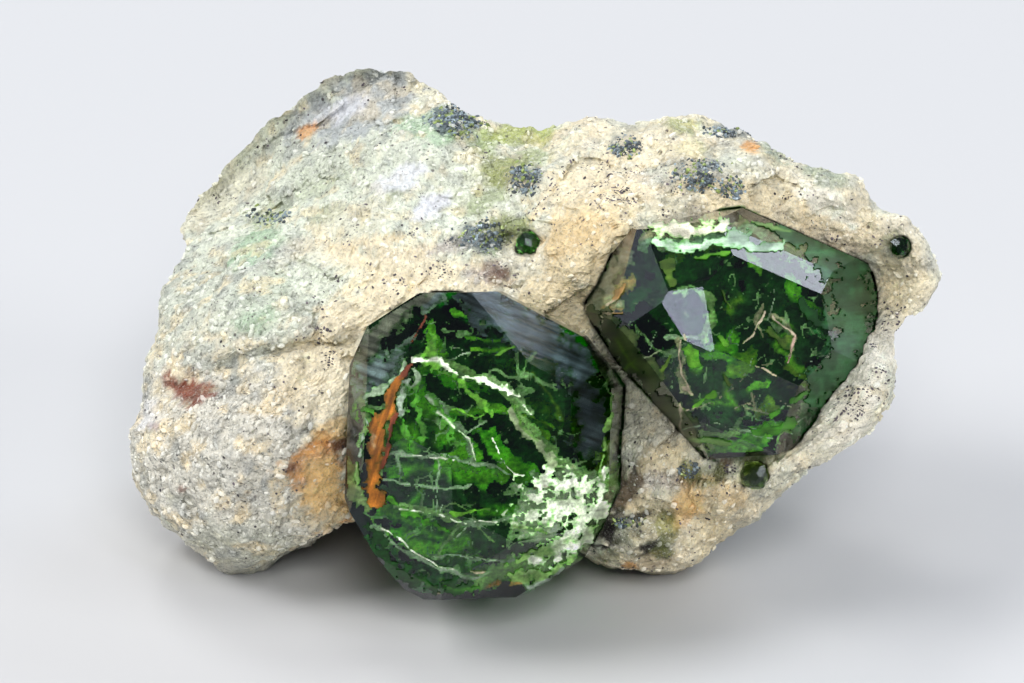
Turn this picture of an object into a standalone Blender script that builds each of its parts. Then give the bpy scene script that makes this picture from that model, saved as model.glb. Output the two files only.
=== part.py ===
"""Demantoid garnet on matrix: a loose lump of pale altered rock with two large green
garnet crystals grown in its front and three small ones in its hollows.

The drawing is in millimetres: x runs to the right, y to the back and the stone rests
on z = 0. Each mesh is in metres, with ORIGIN of the drawing at the world's origin. The
relief of the rock is given as it is seen from the front by an eye that looks down by
FRONT_TILT: u to the right, v up and w away from the eye.
"""
import math

import bmesh
import bpy
import numpy as np
from mathutils import Euler, Vector

# Units and the tilted front frame
MM = 0.001
FRONT_TILT = math.radians(25.0)
# Height of the front frame's zero above the floor
FRONT_RISE = 0.95
# The point of the drawing that becomes the origin: the middle of the flat rest face
ORIGIN = (1.9, 9.2, 0.0)

# Fineness of the rock, in grid cells across each of its two halves
ROCK_CELLS = 44
# Clear gap between a crystal and its socket
SOCKET_GAP = 0.25

# Outline of the rock seen from the front: (u, v, w), from the left end round the underside
OUTLINE = [
    (-18.0, 5.9, 3.0), (-17.4, 3.5, 3.2), (-14.9, 1.2, 3.3), (-13.0, 0.6, 3.4),
    (-10.7, 1.5, 3.6), (-8.5, 2.6, 4.2), (-5.8, 3.4, 5.2), (-2.3, 3.0, 5.4),
    (1.3, 1.9, 4.2), (3.1, 0.8, 3.4), (5.1, 0.6, 3.3), (7.1, 0.7, 3.4),
    (8.6, 2.2, 3.0), (11.5, 4.4, 1.6), (15.0, 7.2, 0.6), (16.3, 9.3, 1.0),
    (16.5, 11.6, 1.8), (17.6, 12.8, 2.2), (18.0, 14.4, 2.4), (16.7, 16.2, 2.6),
    (15.2, 16.9, 2.6), (14.2, 18.1, 2.8), (12.0, 18.9, 2.8), (10.4, 20.0, 3.2),
    (7.1, 20.9, 3.6), (4.9, 20.4, 4.2), (3.1, 20.7, 4.6), (-0.5, 21.0, 5.4),
    (-2.3, 20.9, 6.2), (-3.5, 21.5, 7.2), (-4.5, 22.4, 8.2), (-6.1, 23.2, 9.0),
    (-8.1, 23.3, 9.4), (-10.3, 22.2, 9.8), (-13.0, 19.9, 10.0), (-15.2, 17.8, 9.6),
    (-15.9, 16.2, 8.6), (-15.7, 15.0, 6.6), (-16.4, 13.3, 4.6), (-16.8, 10.8, 3.4),
    (-17.1, 8.4, 3.0),
]
OUTLINE_CENTRE = (0.0, 11.0)
# How late each half rounds over to the outline: higher is squarer
FRONT_ROUNDING = 12.0
BACK_ROUNDING = 5.0
# Least thickness between the two halves, in the middle of the stone
LEAST_THICKNESS = 2.0
# How much closer together the grid lines stand at the outline
EDGE_CROWDING = 0.25

# Points that the front half passes through, (u, v, w): the lobe at the left, the knob
# and the slope below it, the top, the block between the crystals, the rim at the right
# and the toe under it
FRONT_RELIEF = [
    (-13.0, 6.1, -3.3), (-15.2, 4.8, -2.0), (-10.3, 3.9, -2.0), (-8.7, 7.0, -2.9),
    (-8.3, 9.6, -2.5), (-13.4, 9.0, -2.0), (-15.2, 11.5, -0.4), (-12.1, 13.3, -0.8),
    (-9.0, 12.4, -1.8), (-5.8, 13.9, -2.0), (-10.3, 15.9, 2.0), (-13.4, 15.5, 3.1),
    (-9.0, 19.5, 6.7), (-11.6, 18.2, 7.6), (-6.3, 21.3, 7.4), (-14.3, 16.6, 7.6),
    (-3.2, 15.5, 0.0), (-5.8, 17.7, 2.2), (-3.6, 19.1, 3.6), (-0.9, 19.5, 3.8),
    (0.4, 17.7, 0.9), (2.6, 17.5, -1.5), (3.1, 14.6, -3.2), (1.3, 12.4, -2.8),
    (-2.7, 13.5, -2.8), (4.9, 16.6, -2.2), (6.6, 19.1, 0.4), (9.3, 17.5, -1.0),
    (9.3, 19.5, 1.3), (12.0, 17.3, 0.0), (14.7, 15.8, 1.4), (17.0, 14.6, 1.2),
    (15.8, 14.1, 3.4), (16.1, 12.8, 3.2), (15.5, 11.7, 1.7), (14.8, 10.6, -1.3),
    (14.0, 9.3, -3.1), (13.1, 8.1, -4.1), (12.2, 6.9, -5.2), (16.2, 10.6, -2.0),
    (15.5, 10.1, -3.6), (14.7, 8.8, -5.2), (13.7, 7.5, -6.2), (12.7, 6.3, -7.2),
    (11.2, 5.4, -6.8), (7.5, 5.2, -5.0), (7.5, 3.2, -2.6), (4.9, 3.0, -2.9),
    (4.7, 5.6, -4.0), (3.4, 8.2, -1.0), (-4.1, 4.4, 1.4), (-0.5, 6.6, 0.4),
    (8.4, 11.5, 0.9),
]
# Points that the back half passes through, (x, y, z): the underside, then the walls
BACK_POINTS = [
    (-13.0, 5.5, -1.0), (-13.5, 9.5, -0.6), (-12.0, 13.5, 0.6), (-8.5, 6.0, 0.4),
    (-8.0, 10.5, -1.2), (-8.0, 15.0, 0.2), (-3.0, 7.5, -0.8), (-1.0, 11.0, -1.8),
    (-1.0, 14.8, -0.4), (5.0, 4.6, -1.0), (5.5, 8.5, -1.6), (5.5, 12.5, 0.2),
    (10.5, 7.5, 1.6), (10.5, 10.5, 2.4), (14.0, 8.0, 5.2),
    (-15.8, 11.0, 5.5), (-15.2, 15.0, 7.0), (-12.0, 17.6, 5.0), (-12.6, 18.8, 12.0),
    (-6.5, 18.6, 5.5), (-7.0, 20.4, 13.0), (0.0, 17.6, 4.5), (0.0, 18.4, 12.0),
    (5.8, 16.0, 5.5), (6.0, 16.2, 13.5), (11.0, 13.6, 7.0), (11.0, 14.6, 13.0),
    (14.8, 11.0, 8.0), (15.2, 12.2, 12.0), (-3.5, 18.2, 15.5),
]

# Lumps and hollows of the front: (u, v, half width, half height, turn in degrees, height).
# A height above zero stands out of the rock and one below zero is a hollow.
FRONT_FEATURES = [
    (2.6, 15.3, 2.1, 2.4, 20, 0.75),
    (-0.9, 15.4, 1.2, 0.55, 8, -1.5),
    (-0.1, 18.2, 1.3, 0.9, -25, 0.45),
    (4.2, 19.7, 1.0, 0.55, -20, 0.5),
    (7.8, 18.3, 1.5, 0.8, -30, 0.5),
    (-3.3, 20.9, 1.5, 0.8, 30, 0.4),
    (-6.2, 18.0, 1.6, 0.6, 35, 0.35),
    (-12.0, 16.9, 2.2, 0.5, 40, -0.7),
    (5.5, 3.5, 1.3, 0.45, -12, -0.8),
    (3.9, 4.3, 1.2, 0.55, 25, 0.5),
    (4.3, 2.3, 1.5, 0.55, 5, 0.5),
    (-10.2, 6.2, 1.9, 1.5, 60, 0.35),
    (-15.6, 8.9, 0.9, 0.6, -20, 0.3),
    (16.0, 10.8, 1.2, 0.9, 50, 0.35),
    (13.4, 17.4, 1.2, 0.6, -30, 0.4),
    (-14.6, 12.0, 1.6, 1.2, 60, 0.3),
]
# Lumps, ledges and hollows of the back, in the same way
BACK_FEATURES = [
    (-10.5, 17.5, 3.0, 1.2, 15, 0.7),
    (-6.0, 14.5, 1.8, 2.6, -20, -0.7),
    (-12.5, 12.0, 2.0, 1.6, 35, 0.6),
    (-1.5, 17.0, 2.4, 1.3, -10, 0.7),
    (2.0, 12.5, 3.2, 1.0, 12, -0.6),
    (6.5, 15.5, 2.2, 1.4, 30, 0.6),
    (10.5, 11.5, 1.6, 2.4, 15, -0.5),
    (-8.5, 9.5, 2.6, 0.9, -8, 0.6),
    (13.0, 14.0, 1.6, 1.1, 50, 0.5),
    (0.5, 8.5, 2.0, 1.2, 25, 0.5),
]
# The crack that parts the upper from the lower mass at the left, (u, v)
CRACK_PATH = [(-16.9, 8.3), (-14.9, 9.4), (-12.6, 10.2), (-10.3, 10.7), (-8.0, 10.9)]
CRACK_DEPTH = 0.55
CRACK_HALF_WIDTH = 0.3

# Grain of the rock: (cell size, height, seed) of the swells, then of the tilted chips
SWELLS = [(4.2, 0.40, 20), (2.1, 0.24, 21)]
CHIPS = [(3.4, 0.9, 11), (1.7, 0.4, 12)]
# The core line from which the swells push outward: half length, y and z
CORE_HALF_LENGTH = 9.0
CORE_PLACE = (8.0, 9.0)

# Underside: height above the floor, how softly the stone flattens to it, its swell
# (cell size, height, seed), and the patches that reach the floor
UNDERSIDE_HEIGHT = 1.0
UNDERSIDE_SOFTNESS = 0.5
UNDERSIDE_SWELL = (3.0, 0.35, 5)
# (x, y, half length, half width, drop)
CONTACT_PATCHES = [
    (-1.0, 10.0, 7.0, 4.4, 2.8),
    (-13.0, 4.6, 2.8, 2.4, 2.6),
    (5.2, 4.4, 2.8, 2.0, 2.6),
]

# Garnet faces: twelve dodecahedron faces {110} and twenty-four trapezohedron faces {211}
DODECAHEDRON = [(1, 1, 0), (1, 0, 1), (0, 1, 1)]
TRAPEZOHEDRON = [(2, 1, 1), (1, 2, 1), (1, 1, 2)]

# The large crystals: centre (x, y, z), turn about x, y, z in degrees, the distance of
# the plain faces from the centre, and the faces that grew nearer or farther
LEFT_CRYSTAL = {
    "centre": (-2.13, 0.0, 8.00),
    "turn": (-24.6, -78.1, -116.8),
    "size": 6.55,
    "faces": {
        (1, 2, -1): 6.28, (2, 1, -1): 6.13, (1, 1, 0): 6.76, (0, 1, -1): 6.72,
        (-1, 1, -2): 7.4, (1, -1, -2): 6.38, (0, 1, 1): 6.01, (1, 1, 2): 6.44,
        (-1, 2, 1): 6.19, (1, 0, 1): 6.46, (2, -1, 1): 6.79, (-2, 1, -1): 6.7,
        (1, -1, 0): 6.93, (-1, 0, -1): 7.0, (1, -2, -1): 6.66, (-1, -1, -2): 5.91,
        (0, -1, -1): 5.6, (2, -1, -1): 7.9, (-1, 1, 2): 7.0, (1, -1, 2): 5.4,
        (-1, -1, 2): 5.2,
    },
}
RIGHT_CRYSTAL = {
    "centre": (8.76, 3.12, 11.64),
    "turn": (-12.7, -9.5, 149.6),
    "size": 6.6,
    "faces": {
        (-1, 5, 4): 8.57, (-1, 2, 1): 8.10, (-1, 1, 2): 7.62, (-2, 1, 1): 6.61,
        (-1, 1, 0): 7.33, (-1, 0, 1): 5.39, (0, 0, 1): 6.68, (1, 2, 1): 8.39,
        (1, 1, 2): 7.75, (-1, 2, -1): 6.43, (-1, -1, 2): 5.10, (-1, 0, 0): 5.36,
        (-2, -1, 1): 5.15, (-1, -2, 3): 5.07, (2, 1, 1): 6.57, (1, 1, 0): 6.45,
        (1, 0, 1): 7.13, (1, 2, -1): 4.35, (1, -1, 2): 5.76, (0, 1, -1): 5.78,
        (0, -1, 1): 5.65, (-1, 1, -2): 4.6, (-1, -2, 1): 8.12, (-1, 0, -1): 4.66,
        (-1, -1, 0): 8.50, (2, 1, -1): 5.2, (2, -1, 1): 5.0, (0, 1, 1): 9.5,
        (-1, -2, -1): 9.42, (-2, -1, -1): 7.14, (0, -1, -1): 7.2,
    },
}
# The small crystals, with plain faces only, in the front frame: (u, v, w), turn, size
SMALL_CRYSTALS = {
    "crystal_rim": ((16.5, 15.2, 1.45), (20, 40, 10), 0.45),
    "crystal_toe": ((9.8, 5.1, -5.2), (35, 15, 50), 0.60),
    "crystal_shelf": ((-0.1, 15.3, -0.7), (10, 60, 30), 0.55),
}


def turn_frame(points):
    """Turn (u, v, w) into (x, y, z). The same turn takes (x, y, z) back to (u, v, w)."""
    u, v, w = np.asarray(points, float).T
    sine = math.sin(FRONT_TILT)
    cosine = math.cos(FRONT_TILT)
    return np.stack([u, v * sine + w * cosine, v * cosine - w * sine], axis=1)


def thin_plate(knots, at):
    """Smooth height through all knots (u, v, height), read at the points (u, v)."""
    knots = np.asarray(knots, float)
    place = knots[:, :2]

    def kernel(a, b):
        square = ((a[:, None, :] - b[None, :, :]) ** 2).sum(axis=2)
        return 0.5 * square * np.log(square + 1e-9)

    count = len(knots)
    plane = np.hstack([np.ones((count, 1)), place])
    system = np.zeros((count + 3, count + 3))
    system[:count, :count] = kernel(place, place)
    system[:count, count:] = plane
    system[count:, :count] = plane.T
    weights = np.linalg.solve(system, np.append(knots[:, 2], [0.0, 0.0, 0.0]))
    return kernel(at, place) @ weights[:count] + weights[count] + at @ weights[count + 1:]


def outline_at(share):
    """Smooth closed curve through OUTLINE, read at shares 0 to 1 of its way round."""
    knots = np.asarray(OUTLINE, float)
    steps = np.linalg.norm(np.roll(knots, -1, axis=0)[:, :2] - knots[:, :2], axis=1)
    along = np.concatenate([[0.0], np.cumsum(steps)])
    position = (share % 1.0) * along[-1]
    first = np.clip(np.searchsorted(along, position, side="right") - 1, 0, len(knots) - 1)
    part = ((position - along[first]) / steps[first])[:, None]
    p0, p1, p2, p3 = (knots[(first + shift) % len(knots)] for shift in (-1, 0, 1, 2))
    return 0.5 * (2 * p1 + (p2 - p0) * part + (2 * p0 - 5 * p1 + 4 * p2 - p3) * part ** 2
                  + (3 * p1 - p0 - 3 * p2 + p3) * part ** 3)


def square_to_disc(a, b):
    """Radius 0 to 1 and turn 0 to 1 on a disc for each point of the square from -1 to 1."""
    wide = np.abs(a) > np.abs(b)
    reach = np.where(wide, a, b)
    safe = np.where(reach == 0.0, 1.0, reach)
    angle = np.where(wide, 0.25 * math.pi * b / safe, 0.5 * math.pi - 0.25 * math.pi * a / safe)
    angle = np.where(reach < 0.0, angle + math.pi, angle)
    return np.abs(reach), angle / (2.0 * math.pi)


def lattice_value(ix, iy, iz, seed):
    """Repeatable number from 0 to 1 for each whole lattice point."""
    mixed = (ix * 73856093) ^ (iy * 19349663) ^ (iz * 83492791) ^ (seed * 2654435761)
    mixed = (mixed ^ (mixed >> 13)) * 1274126177
    mixed = mixed ^ (mixed >> 16)
    return (mixed & 0xFFFFFF) / float(0xFFFFFF)


def value_noise(points, cell, seed):
    """Smooth noise from -1 to 1, with one random value for each cube of the given size."""
    scaled = points / cell
    base = np.floor(scaled).astype(np.int64)
    part = scaled - base
    part = part * part * (3.0 - 2.0 * part)
    total = np.zeros(len(points))
    for corner in range(8):
        offset = np.array([corner & 1, (corner >> 1) & 1, (corner >> 2) & 1])
        weight = np.where(offset, part, 1.0 - part).prod(axis=1)
        ix, iy, iz = (base + offset).T
        total += weight * lattice_value(ix, iy, iz, seed)
    return 2.0 * total - 1.0


def chip_noise(points, cell, seed):
    """Flat tilted chips: each point takes the tilted plane of its nearest random seed."""
    scaled = points / cell
    base = np.floor(scaled).astype(np.int64)
    nearest = np.full(len(points), 9.0)
    height = np.zeros(len(points))
    for corner in range(27):
        offset = np.array([corner % 3 - 1, corner // 3 % 3 - 1, corner // 9 - 1])
        ix, iy, iz = (base + offset).T
        jitter = np.stack([lattice_value(ix, iy, iz, seed + k) for k in range(3)], axis=1)
        tilt = np.stack([lattice_value(ix, iy, iz, seed + 3 + k) for k in range(3)], axis=1) - 0.5
        away = scaled - (base + offset + jitter)
        distance = (away ** 2).sum(axis=1)
        closer = distance < nearest
        nearest = np.where(closer, distance, nearest)
        height = np.where(closer, (away * tilt).sum(axis=1), height)
    return height


def distance_to_path(at, path):
    """Shortest distance from each point (u, v) to a path of straight runs."""
    path = np.asarray(path, float)
    best = np.full(len(at), 1e9)
    for start, end in zip(path[:-1], path[1:]):
        run = end - start
        part = np.clip(((at - start) @ run) / (run @ run), 0.0, 1.0)
        best = np.minimum(best, np.linalg.norm(at - start - part[:, None] * run, axis=1))
    return best


def features_at(at, features):
    """Height of the lumps and hollows at the points (u, v)."""
    height = np.zeros(len(at))
    for u, v, half_width, half_height, turn, rise in features:
        angle = math.radians(turn)
        du = at[:, 0] - u
        dv = at[:, 1] - v
        along = (du * math.cos(angle) + dv * math.sin(angle)) / half_width
        across = (dv * math.cos(angle) - du * math.sin(angle)) / half_height
        height += rise * np.exp(-(along ** 2 + across ** 2) ** 1.5)
    return height


def chips_at(at, depth):
    """Height of the broken chips at points of the front frame."""
    points = np.column_stack([at, depth])
    return sum(rise * chip_noise(points, cell, seed) for cell, rise, seed in CHIPS)


def rock_halves(a, b):
    """Front-frame points of the front and the back half of the rock over the grid a, b.

    The square is wrapped on a disc, the disc is stretched to the outline, and the depth
    runs from the outline's own depth to the relief as the edge rounds over.
    """
    radius, share = square_to_disc(a, b)
    reach = radius + EDGE_CROWDING * (np.sin(0.5 * math.pi * radius) - radius)
    edge = outline_at(share + 0.5)
    centre = np.asarray(OUTLINE_CENTRE)
    at = centre + reach[:, None] * (edge[:, :2] - centre)
    rim = edge[:, 2]
    crack = distance_to_path(at, CRACK_PATH) / CRACK_HALF_WIDTH
    front = thin_plate(FRONT_RELIEF, at) + CRACK_DEPTH * np.exp(-crack ** 2)
    front -= features_at(at, FRONT_FEATURES) + chips_at(at, front)
    back = thin_plate(turn_frame(np.asarray(BACK_POINTS) - [0.0, 0.0, FRONT_RISE]), at)
    back += features_at(at, BACK_FEATURES) + chips_at(at, back)
    front = rim + (front - rim) * np.sqrt(1.0 - reach ** FRONT_ROUNDING)
    back = rim + (back - rim) * np.sqrt(1.0 - reach ** BACK_ROUNDING)
    back = np.maximum(back, front + LEAST_THICKNESS * np.sqrt(1.0 - reach ** 2))
    return np.column_stack([at, front]), np.column_stack([at, back])


def swell(points):
    """Push the surface out and in along lines from the core of the stone."""
    core = np.empty_like(points)
    core[:, 0] = np.clip(points[:, 0], -CORE_HALF_LENGTH, CORE_HALF_LENGTH)
    core[:, 1:] = CORE_PLACE
    outward = points - core
    outward /= np.linalg.norm(outward, axis=1)[:, None]
    height = sum(rise * value_noise(points, cell, seed) for cell, rise, seed in SWELLS)
    return points + outward * height[:, None]


def settle_underside(points):
    """Raise what is below the underside height, except over the contact patches."""
    x, y, z = points.T
    cell, rise, seed = UNDERSIDE_SWELL
    floor = UNDERSIDE_HEIGHT + rise * value_noise(points * [1.0, 1.0, 0.0], cell, seed)
    for px, py, half_length, half_width, drop in CONTACT_PATCHES:
        ring = ((x - px) / half_length) ** 2 + ((y - py) / half_width) ** 2
        floor -= drop * np.exp(-ring ** 2)
    over = np.clip((z - floor) / UNDERSIDE_SOFTNESS, -40.0, 40.0)
    raised = floor + UNDERSIDE_SOFTNESS * np.log1p(np.exp(over))
    return np.column_stack([x, y, raised])


def make_material(name, colour, roughness):
    material = bpy.data.materials.new(name)
    material.use_nodes = True
    shader = material.node_tree.nodes["Principled BSDF"]
    shader.inputs["Base Color"].default_value = (*colour, 1.0)
    shader.inputs["Roughness"].default_value = roughness
    return material


def add_object(name, mesh, material=None):
    item = bpy.data.objects.new(name, mesh)
    bpy.context.scene.collection.objects.link(item)
    if material:
        mesh.materials.append(material)
    return item


def cut_flat(body, place, normal):
    """Cut away what lies beyond a plane and close the cut."""
    geometry = body.verts[:] + body.edges[:] + body.faces[:]
    cut = bmesh.ops.bisect_plane(
        body, geom=geometry, dist=1e-9, plane_co=place, plane_no=normal, clear_outer=True)
    rim = [item for item in cut["geom_cut"] if isinstance(item, bmesh.types.BMEdge)]
    if rim:
        bmesh.ops.contextual_create(body, geom=rim)


def all_signs(indices):
    """The face indices with every choice of signs, once each."""
    found = []
    for code in range(8):
        signs = [1 - 2 * ((code >> bit) & 1) for bit in range(3)]
        face = tuple(sign * index for sign, index in zip(signs, indices))
        if face not in found:
            found.append(face)
    return found


def crystal_mesh(name, centre, turn, size, faces, grow=0.0):
    """A block cleft along every garnet face at its own distance from the centre."""
    rotation = Euler([math.radians(angle) for angle in turn], "XYZ").to_matrix()
    middle = (Vector(centre) - Vector(ORIGIN)) * MM
    distances = {}
    for form in DODECAHEDRON + TRAPEZOHEDRON:
        for face in all_signs(form):
            distances[face] = size
    distances.update(faces)
    body = bmesh.new()
    bmesh.ops.create_cube(body, size=6.0 * size * MM)
    bmesh.ops.translate(body, verts=body.verts, vec=middle)
    for face, distance in distances.items():
        normal = (rotation @ Vector(face)).normalized()
        cut_flat(body, middle + normal * (distance + grow) * MM, normal)
    bmesh.ops.remove_doubles(body, verts=body.verts, dist=2e-6)
    bmesh.ops.dissolve_degenerate(body, edges=body.edges, dist=1e-6)
    bmesh.ops.recalc_face_normals(body, faces=body.faces)
    mesh = bpy.data.meshes.new(name)
    body.to_mesh(mesh)
    body.free()
    return mesh


def rock_mesh(name, cells):
    """Two grids, front and back, joined along the outline and cut flat at the floor."""
    line = np.linspace(-1.0, 1.0, cells + 1)
    a, b = (grid.ravel() for grid in np.meshgrid(line, line, indexing="ij"))
    points = turn_frame(np.vstack(rock_halves(a, b))) + [0.0, 0.0, FRONT_RISE]
    points = settle_underside(swell(points))
    count = cells + 1
    corner = (np.arange(cells)[:, None] * count + np.arange(cells)[None, :]).ravel()
    quads = np.column_stack([corner, corner + count, corner + count + 1, corner + 1])
    faces = np.vstack([quads, quads[:, ::-1] + count * count])
    body = bmesh.new()
    corners = [body.verts.new(point) for point in (points - ORIGIN) * MM]
    for face in faces:
        body.faces.new([corners[index] for index in face])
    bmesh.ops.remove_doubles(body, verts=body.verts, dist=2e-6)
    bmesh.ops.triangulate(body, faces=body.faces)
    cut_flat(body, Vector((0.0, 0.0, 0.0)), Vector((0.0, 0.0, -1.0)))
    bmesh.ops.triangulate(body, faces=[face for face in body.faces if len(face.verts) > 4])
    mesh = bpy.data.meshes.new(name)
    body.to_mesh(mesh)
    body.free()
    return mesh


def cut_socket(rock, name, mesh):
    """Take a grown copy of a crystal out of the rock."""
    cutter = add_object(name, mesh)
    cutter.hide_render = True
    cutter.display_type = "WIRE"
    cut = rock.modifiers.new(name, "BOOLEAN")
    cut.operation = "DIFFERENCE"
    cut.solver = "EXACT"
    cut.object = cutter


def clear_scene():
    for item in list(bpy.data.objects):
        bpy.data.objects.remove(item)


def build():
    clear_scene()
    stone = make_material("pale_altered_rock", (0.66, 0.62, 0.49), 0.92)
    green = make_material("green_garnet", (0.03, 0.16, 0.03), 0.08)
    olive = make_material("olive_garnet", (0.12, 0.17, 0.03), 0.25)

    rock = add_object("matrix", rock_mesh("matrix", ROCK_CELLS), stone)
    for name, crystal in (("crystal_left", LEFT_CRYSTAL), ("crystal_right", RIGHT_CRYSTAL)):
        shape = [crystal[key] for key in ("centre", "turn", "size", "faces")]
        add_object(name, crystal_mesh(name, *shape), green)
        cut_socket(rock, name + "_socket", crystal_mesh(name + "_socket", *shape, grow=SOCKET_GAP))
    for name, (place, turn, size) in SMALL_CRYSTALS.items():
        centre = turn_frame([place])[0] + [0.0, 0.0, FRONT_RISE]
        add_object(name, crystal_mesh(name, centre, turn, size, {}), olive)
        cut_socket(rock, name + "_socket",
                   crystal_mesh(name + "_socket", centre, turn, size, {}, grow=SOCKET_GAP))


build()
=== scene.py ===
"""Demantoid garnet on matrix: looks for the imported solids.

Every piece is worked out in millimetres in the front frame of the stone, u to the right,
v up and w away from an eye that looks down by FRONT_TILT, and is then turned into the
row frame in metres.
"""
import math

import bmesh
import bpy
import numpy as np
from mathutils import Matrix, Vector


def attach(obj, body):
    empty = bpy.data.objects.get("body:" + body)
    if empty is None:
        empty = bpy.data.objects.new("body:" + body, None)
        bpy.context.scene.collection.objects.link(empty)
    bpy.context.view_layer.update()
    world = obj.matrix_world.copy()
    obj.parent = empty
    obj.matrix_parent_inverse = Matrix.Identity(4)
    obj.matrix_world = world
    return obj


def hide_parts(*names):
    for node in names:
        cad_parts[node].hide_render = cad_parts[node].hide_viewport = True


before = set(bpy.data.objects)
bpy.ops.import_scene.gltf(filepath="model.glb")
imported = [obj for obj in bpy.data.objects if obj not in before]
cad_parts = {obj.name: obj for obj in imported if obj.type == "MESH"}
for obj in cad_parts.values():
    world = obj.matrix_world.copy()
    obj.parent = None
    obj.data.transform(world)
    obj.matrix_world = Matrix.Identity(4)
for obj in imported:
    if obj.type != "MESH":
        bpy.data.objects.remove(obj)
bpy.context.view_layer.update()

MM = 0.001
# Where each search for the nearest starts, and so the most that it can give
FAR = 9.0
FRONT_TILT = math.radians(25.0)
# How far the turned stone is lifted to rest on the floor, and where the row frame's origin
# lies in it, in millimetres
FRONT_RISE = 0.95
ORIGIN = (1.9, 9.2, 0.0)

# Fineness of the rock, in grid cells across each of its two halves
ROCK_CELLS = 214
# Gap between each crystal and the fine rock, in millimetres
SOCKET_GAP = 0.05
# Side of the cube from which each socket's block is cleft, in metres
BLANK_SIZE = 0.08
# A crystal face whose normal has less depth than this is seen edge on
EDGE_ON = 0.02
# Sheets of growth: how far the grid goes past the strokes and the thickness, in millimetres,
# and how many times longer than wide drawn fibres are
SHEET_MARGIN = 1.2
SHEET_THICKNESS = 0.03
FIBRE_STRETCH = 9.0

# Outline of the rock seen from the front: (u, v, w), from the left end round the underside
OUTLINE = [
    (-18.0, 5.9, 3.0), (-17.4, 3.5, 3.2), (-14.9, 1.2, 3.3), (-13.0, 0.6, 3.4),
    (-10.7, 1.5, 3.6), (-8.5, 2.6, 4.2), (-5.8, 3.4, 5.2), (-2.3, 3.0, 5.4),
    (1.3, 1.9, 4.2), (3.1, 0.8, 3.4), (5.1, 0.6, 3.3), (7.1, 0.7, 3.4),
    (8.6, 2.2, 3.0), (11.5, 4.4, 1.6), (15.0, 7.2, 0.6), (16.3, 9.3, 1.0),
    (16.5, 11.6, 1.8), (17.6, 12.8, 2.2), (18.0, 14.4, 2.4), (16.7, 16.2, 2.6),
    (15.2, 16.9, 2.6), (14.2, 18.1, 2.8), (12.0, 18.9, 2.8), (10.4, 20.0, 3.2),
    (7.1, 20.9, 3.6), (4.9, 20.4, 4.2), (3.1, 20.7, 4.6), (-0.5, 21.0, 5.4),
    (-2.3, 20.9, 6.2), (-3.5, 21.5, 7.2), (-4.5, 22.4, 8.2), (-6.1, 23.2, 9.0),
    (-8.1, 23.3, 9.4), (-10.3, 22.2, 9.8), (-13.0, 19.9, 10.0), (-15.2, 17.8, 9.6),
    (-15.9, 16.2, 8.6), (-15.7, 15.0, 6.6), (-16.4, 13.3, 4.6), (-16.8, 10.8, 3.4),
    (-17.1, 8.4, 3.0),
]
OUTLINE_CENTRE = (0.0, 11.0)
# How late each half rounds over to the outline: higher is squarer
FRONT_ROUNDING = 12.0
BACK_ROUNDING = 5.0
# Least thickness between the two halves, in the middle of the stone
LEAST_THICKNESS = 2.0
# How much closer together the grid lines stand at the outline
EDGE_CROWDING = 0.25

# Points that the front half passes through, (u, v, w): the lobe at the left, the knob
# and the slope below it, the top, the block between the crystals, the rim at the right
# and the toe under it
FRONT_RELIEF = [
    (-13.0, 6.1, -3.3), (-15.2, 4.8, -2.0), (-10.3, 3.9, -2.0), (-8.7, 7.0, -2.9),
    (-8.3, 9.6, -2.5), (-13.4, 9.0, -2.0), (-15.2, 11.5, -0.4), (-12.1, 13.3, -0.8),
    (-9.0, 12.4, -1.8), (-5.8, 13.9, -2.0), (-10.3, 15.9, 2.0), (-13.4, 15.5, 3.1),
    (-9.0, 19.5, 6.7), (-11.6, 18.2, 7.6), (-6.3, 21.3, 7.4), (-14.3, 16.6, 7.6),
    (-3.2, 15.5, 0.0), (-5.8, 17.7, 2.2), (-3.6, 19.1, 3.6), (-0.9, 19.5, 3.8),
    (0.4, 17.7, 0.9), (2.6, 17.5, -1.5), (3.1, 14.6, -3.2), (1.3, 12.4, -2.8),
    (-2.7, 13.5, -2.8), (4.9, 16.6, -2.2), (6.6, 19.1, 0.4), (9.3, 17.5, -1.0),
    (9.3, 19.5, 1.3), (12.0, 17.3, 0.0), (14.7, 15.8, 1.4), (17.0, 14.6, 1.2),
    (15.8, 14.1, 3.4), (16.1, 12.8, 3.2), (15.5, 11.7, 1.7), (14.8, 10.6, -1.3),
    (14.0, 9.3, -3.1), (13.1, 8.1, -4.1), (12.2, 6.9, -5.2), (16.2, 10.6, -2.0),
    (15.5, 10.1, -3.6), (14.7, 8.8, -5.2), (13.7, 7.5, -6.2), (12.7, 6.3, -7.2),
    (11.2, 5.4, -6.8), (7.5, 5.2, -5.0), (7.5, 3.2, -2.6), (4.9, 3.0, -2.9),
    (4.7, 5.6, -4.0), (3.4, 8.2, -1.0), (-4.1, 4.4, 1.4), (-0.5, 6.6, 0.4),
    (8.4, 11.5, 0.9),
]
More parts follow.
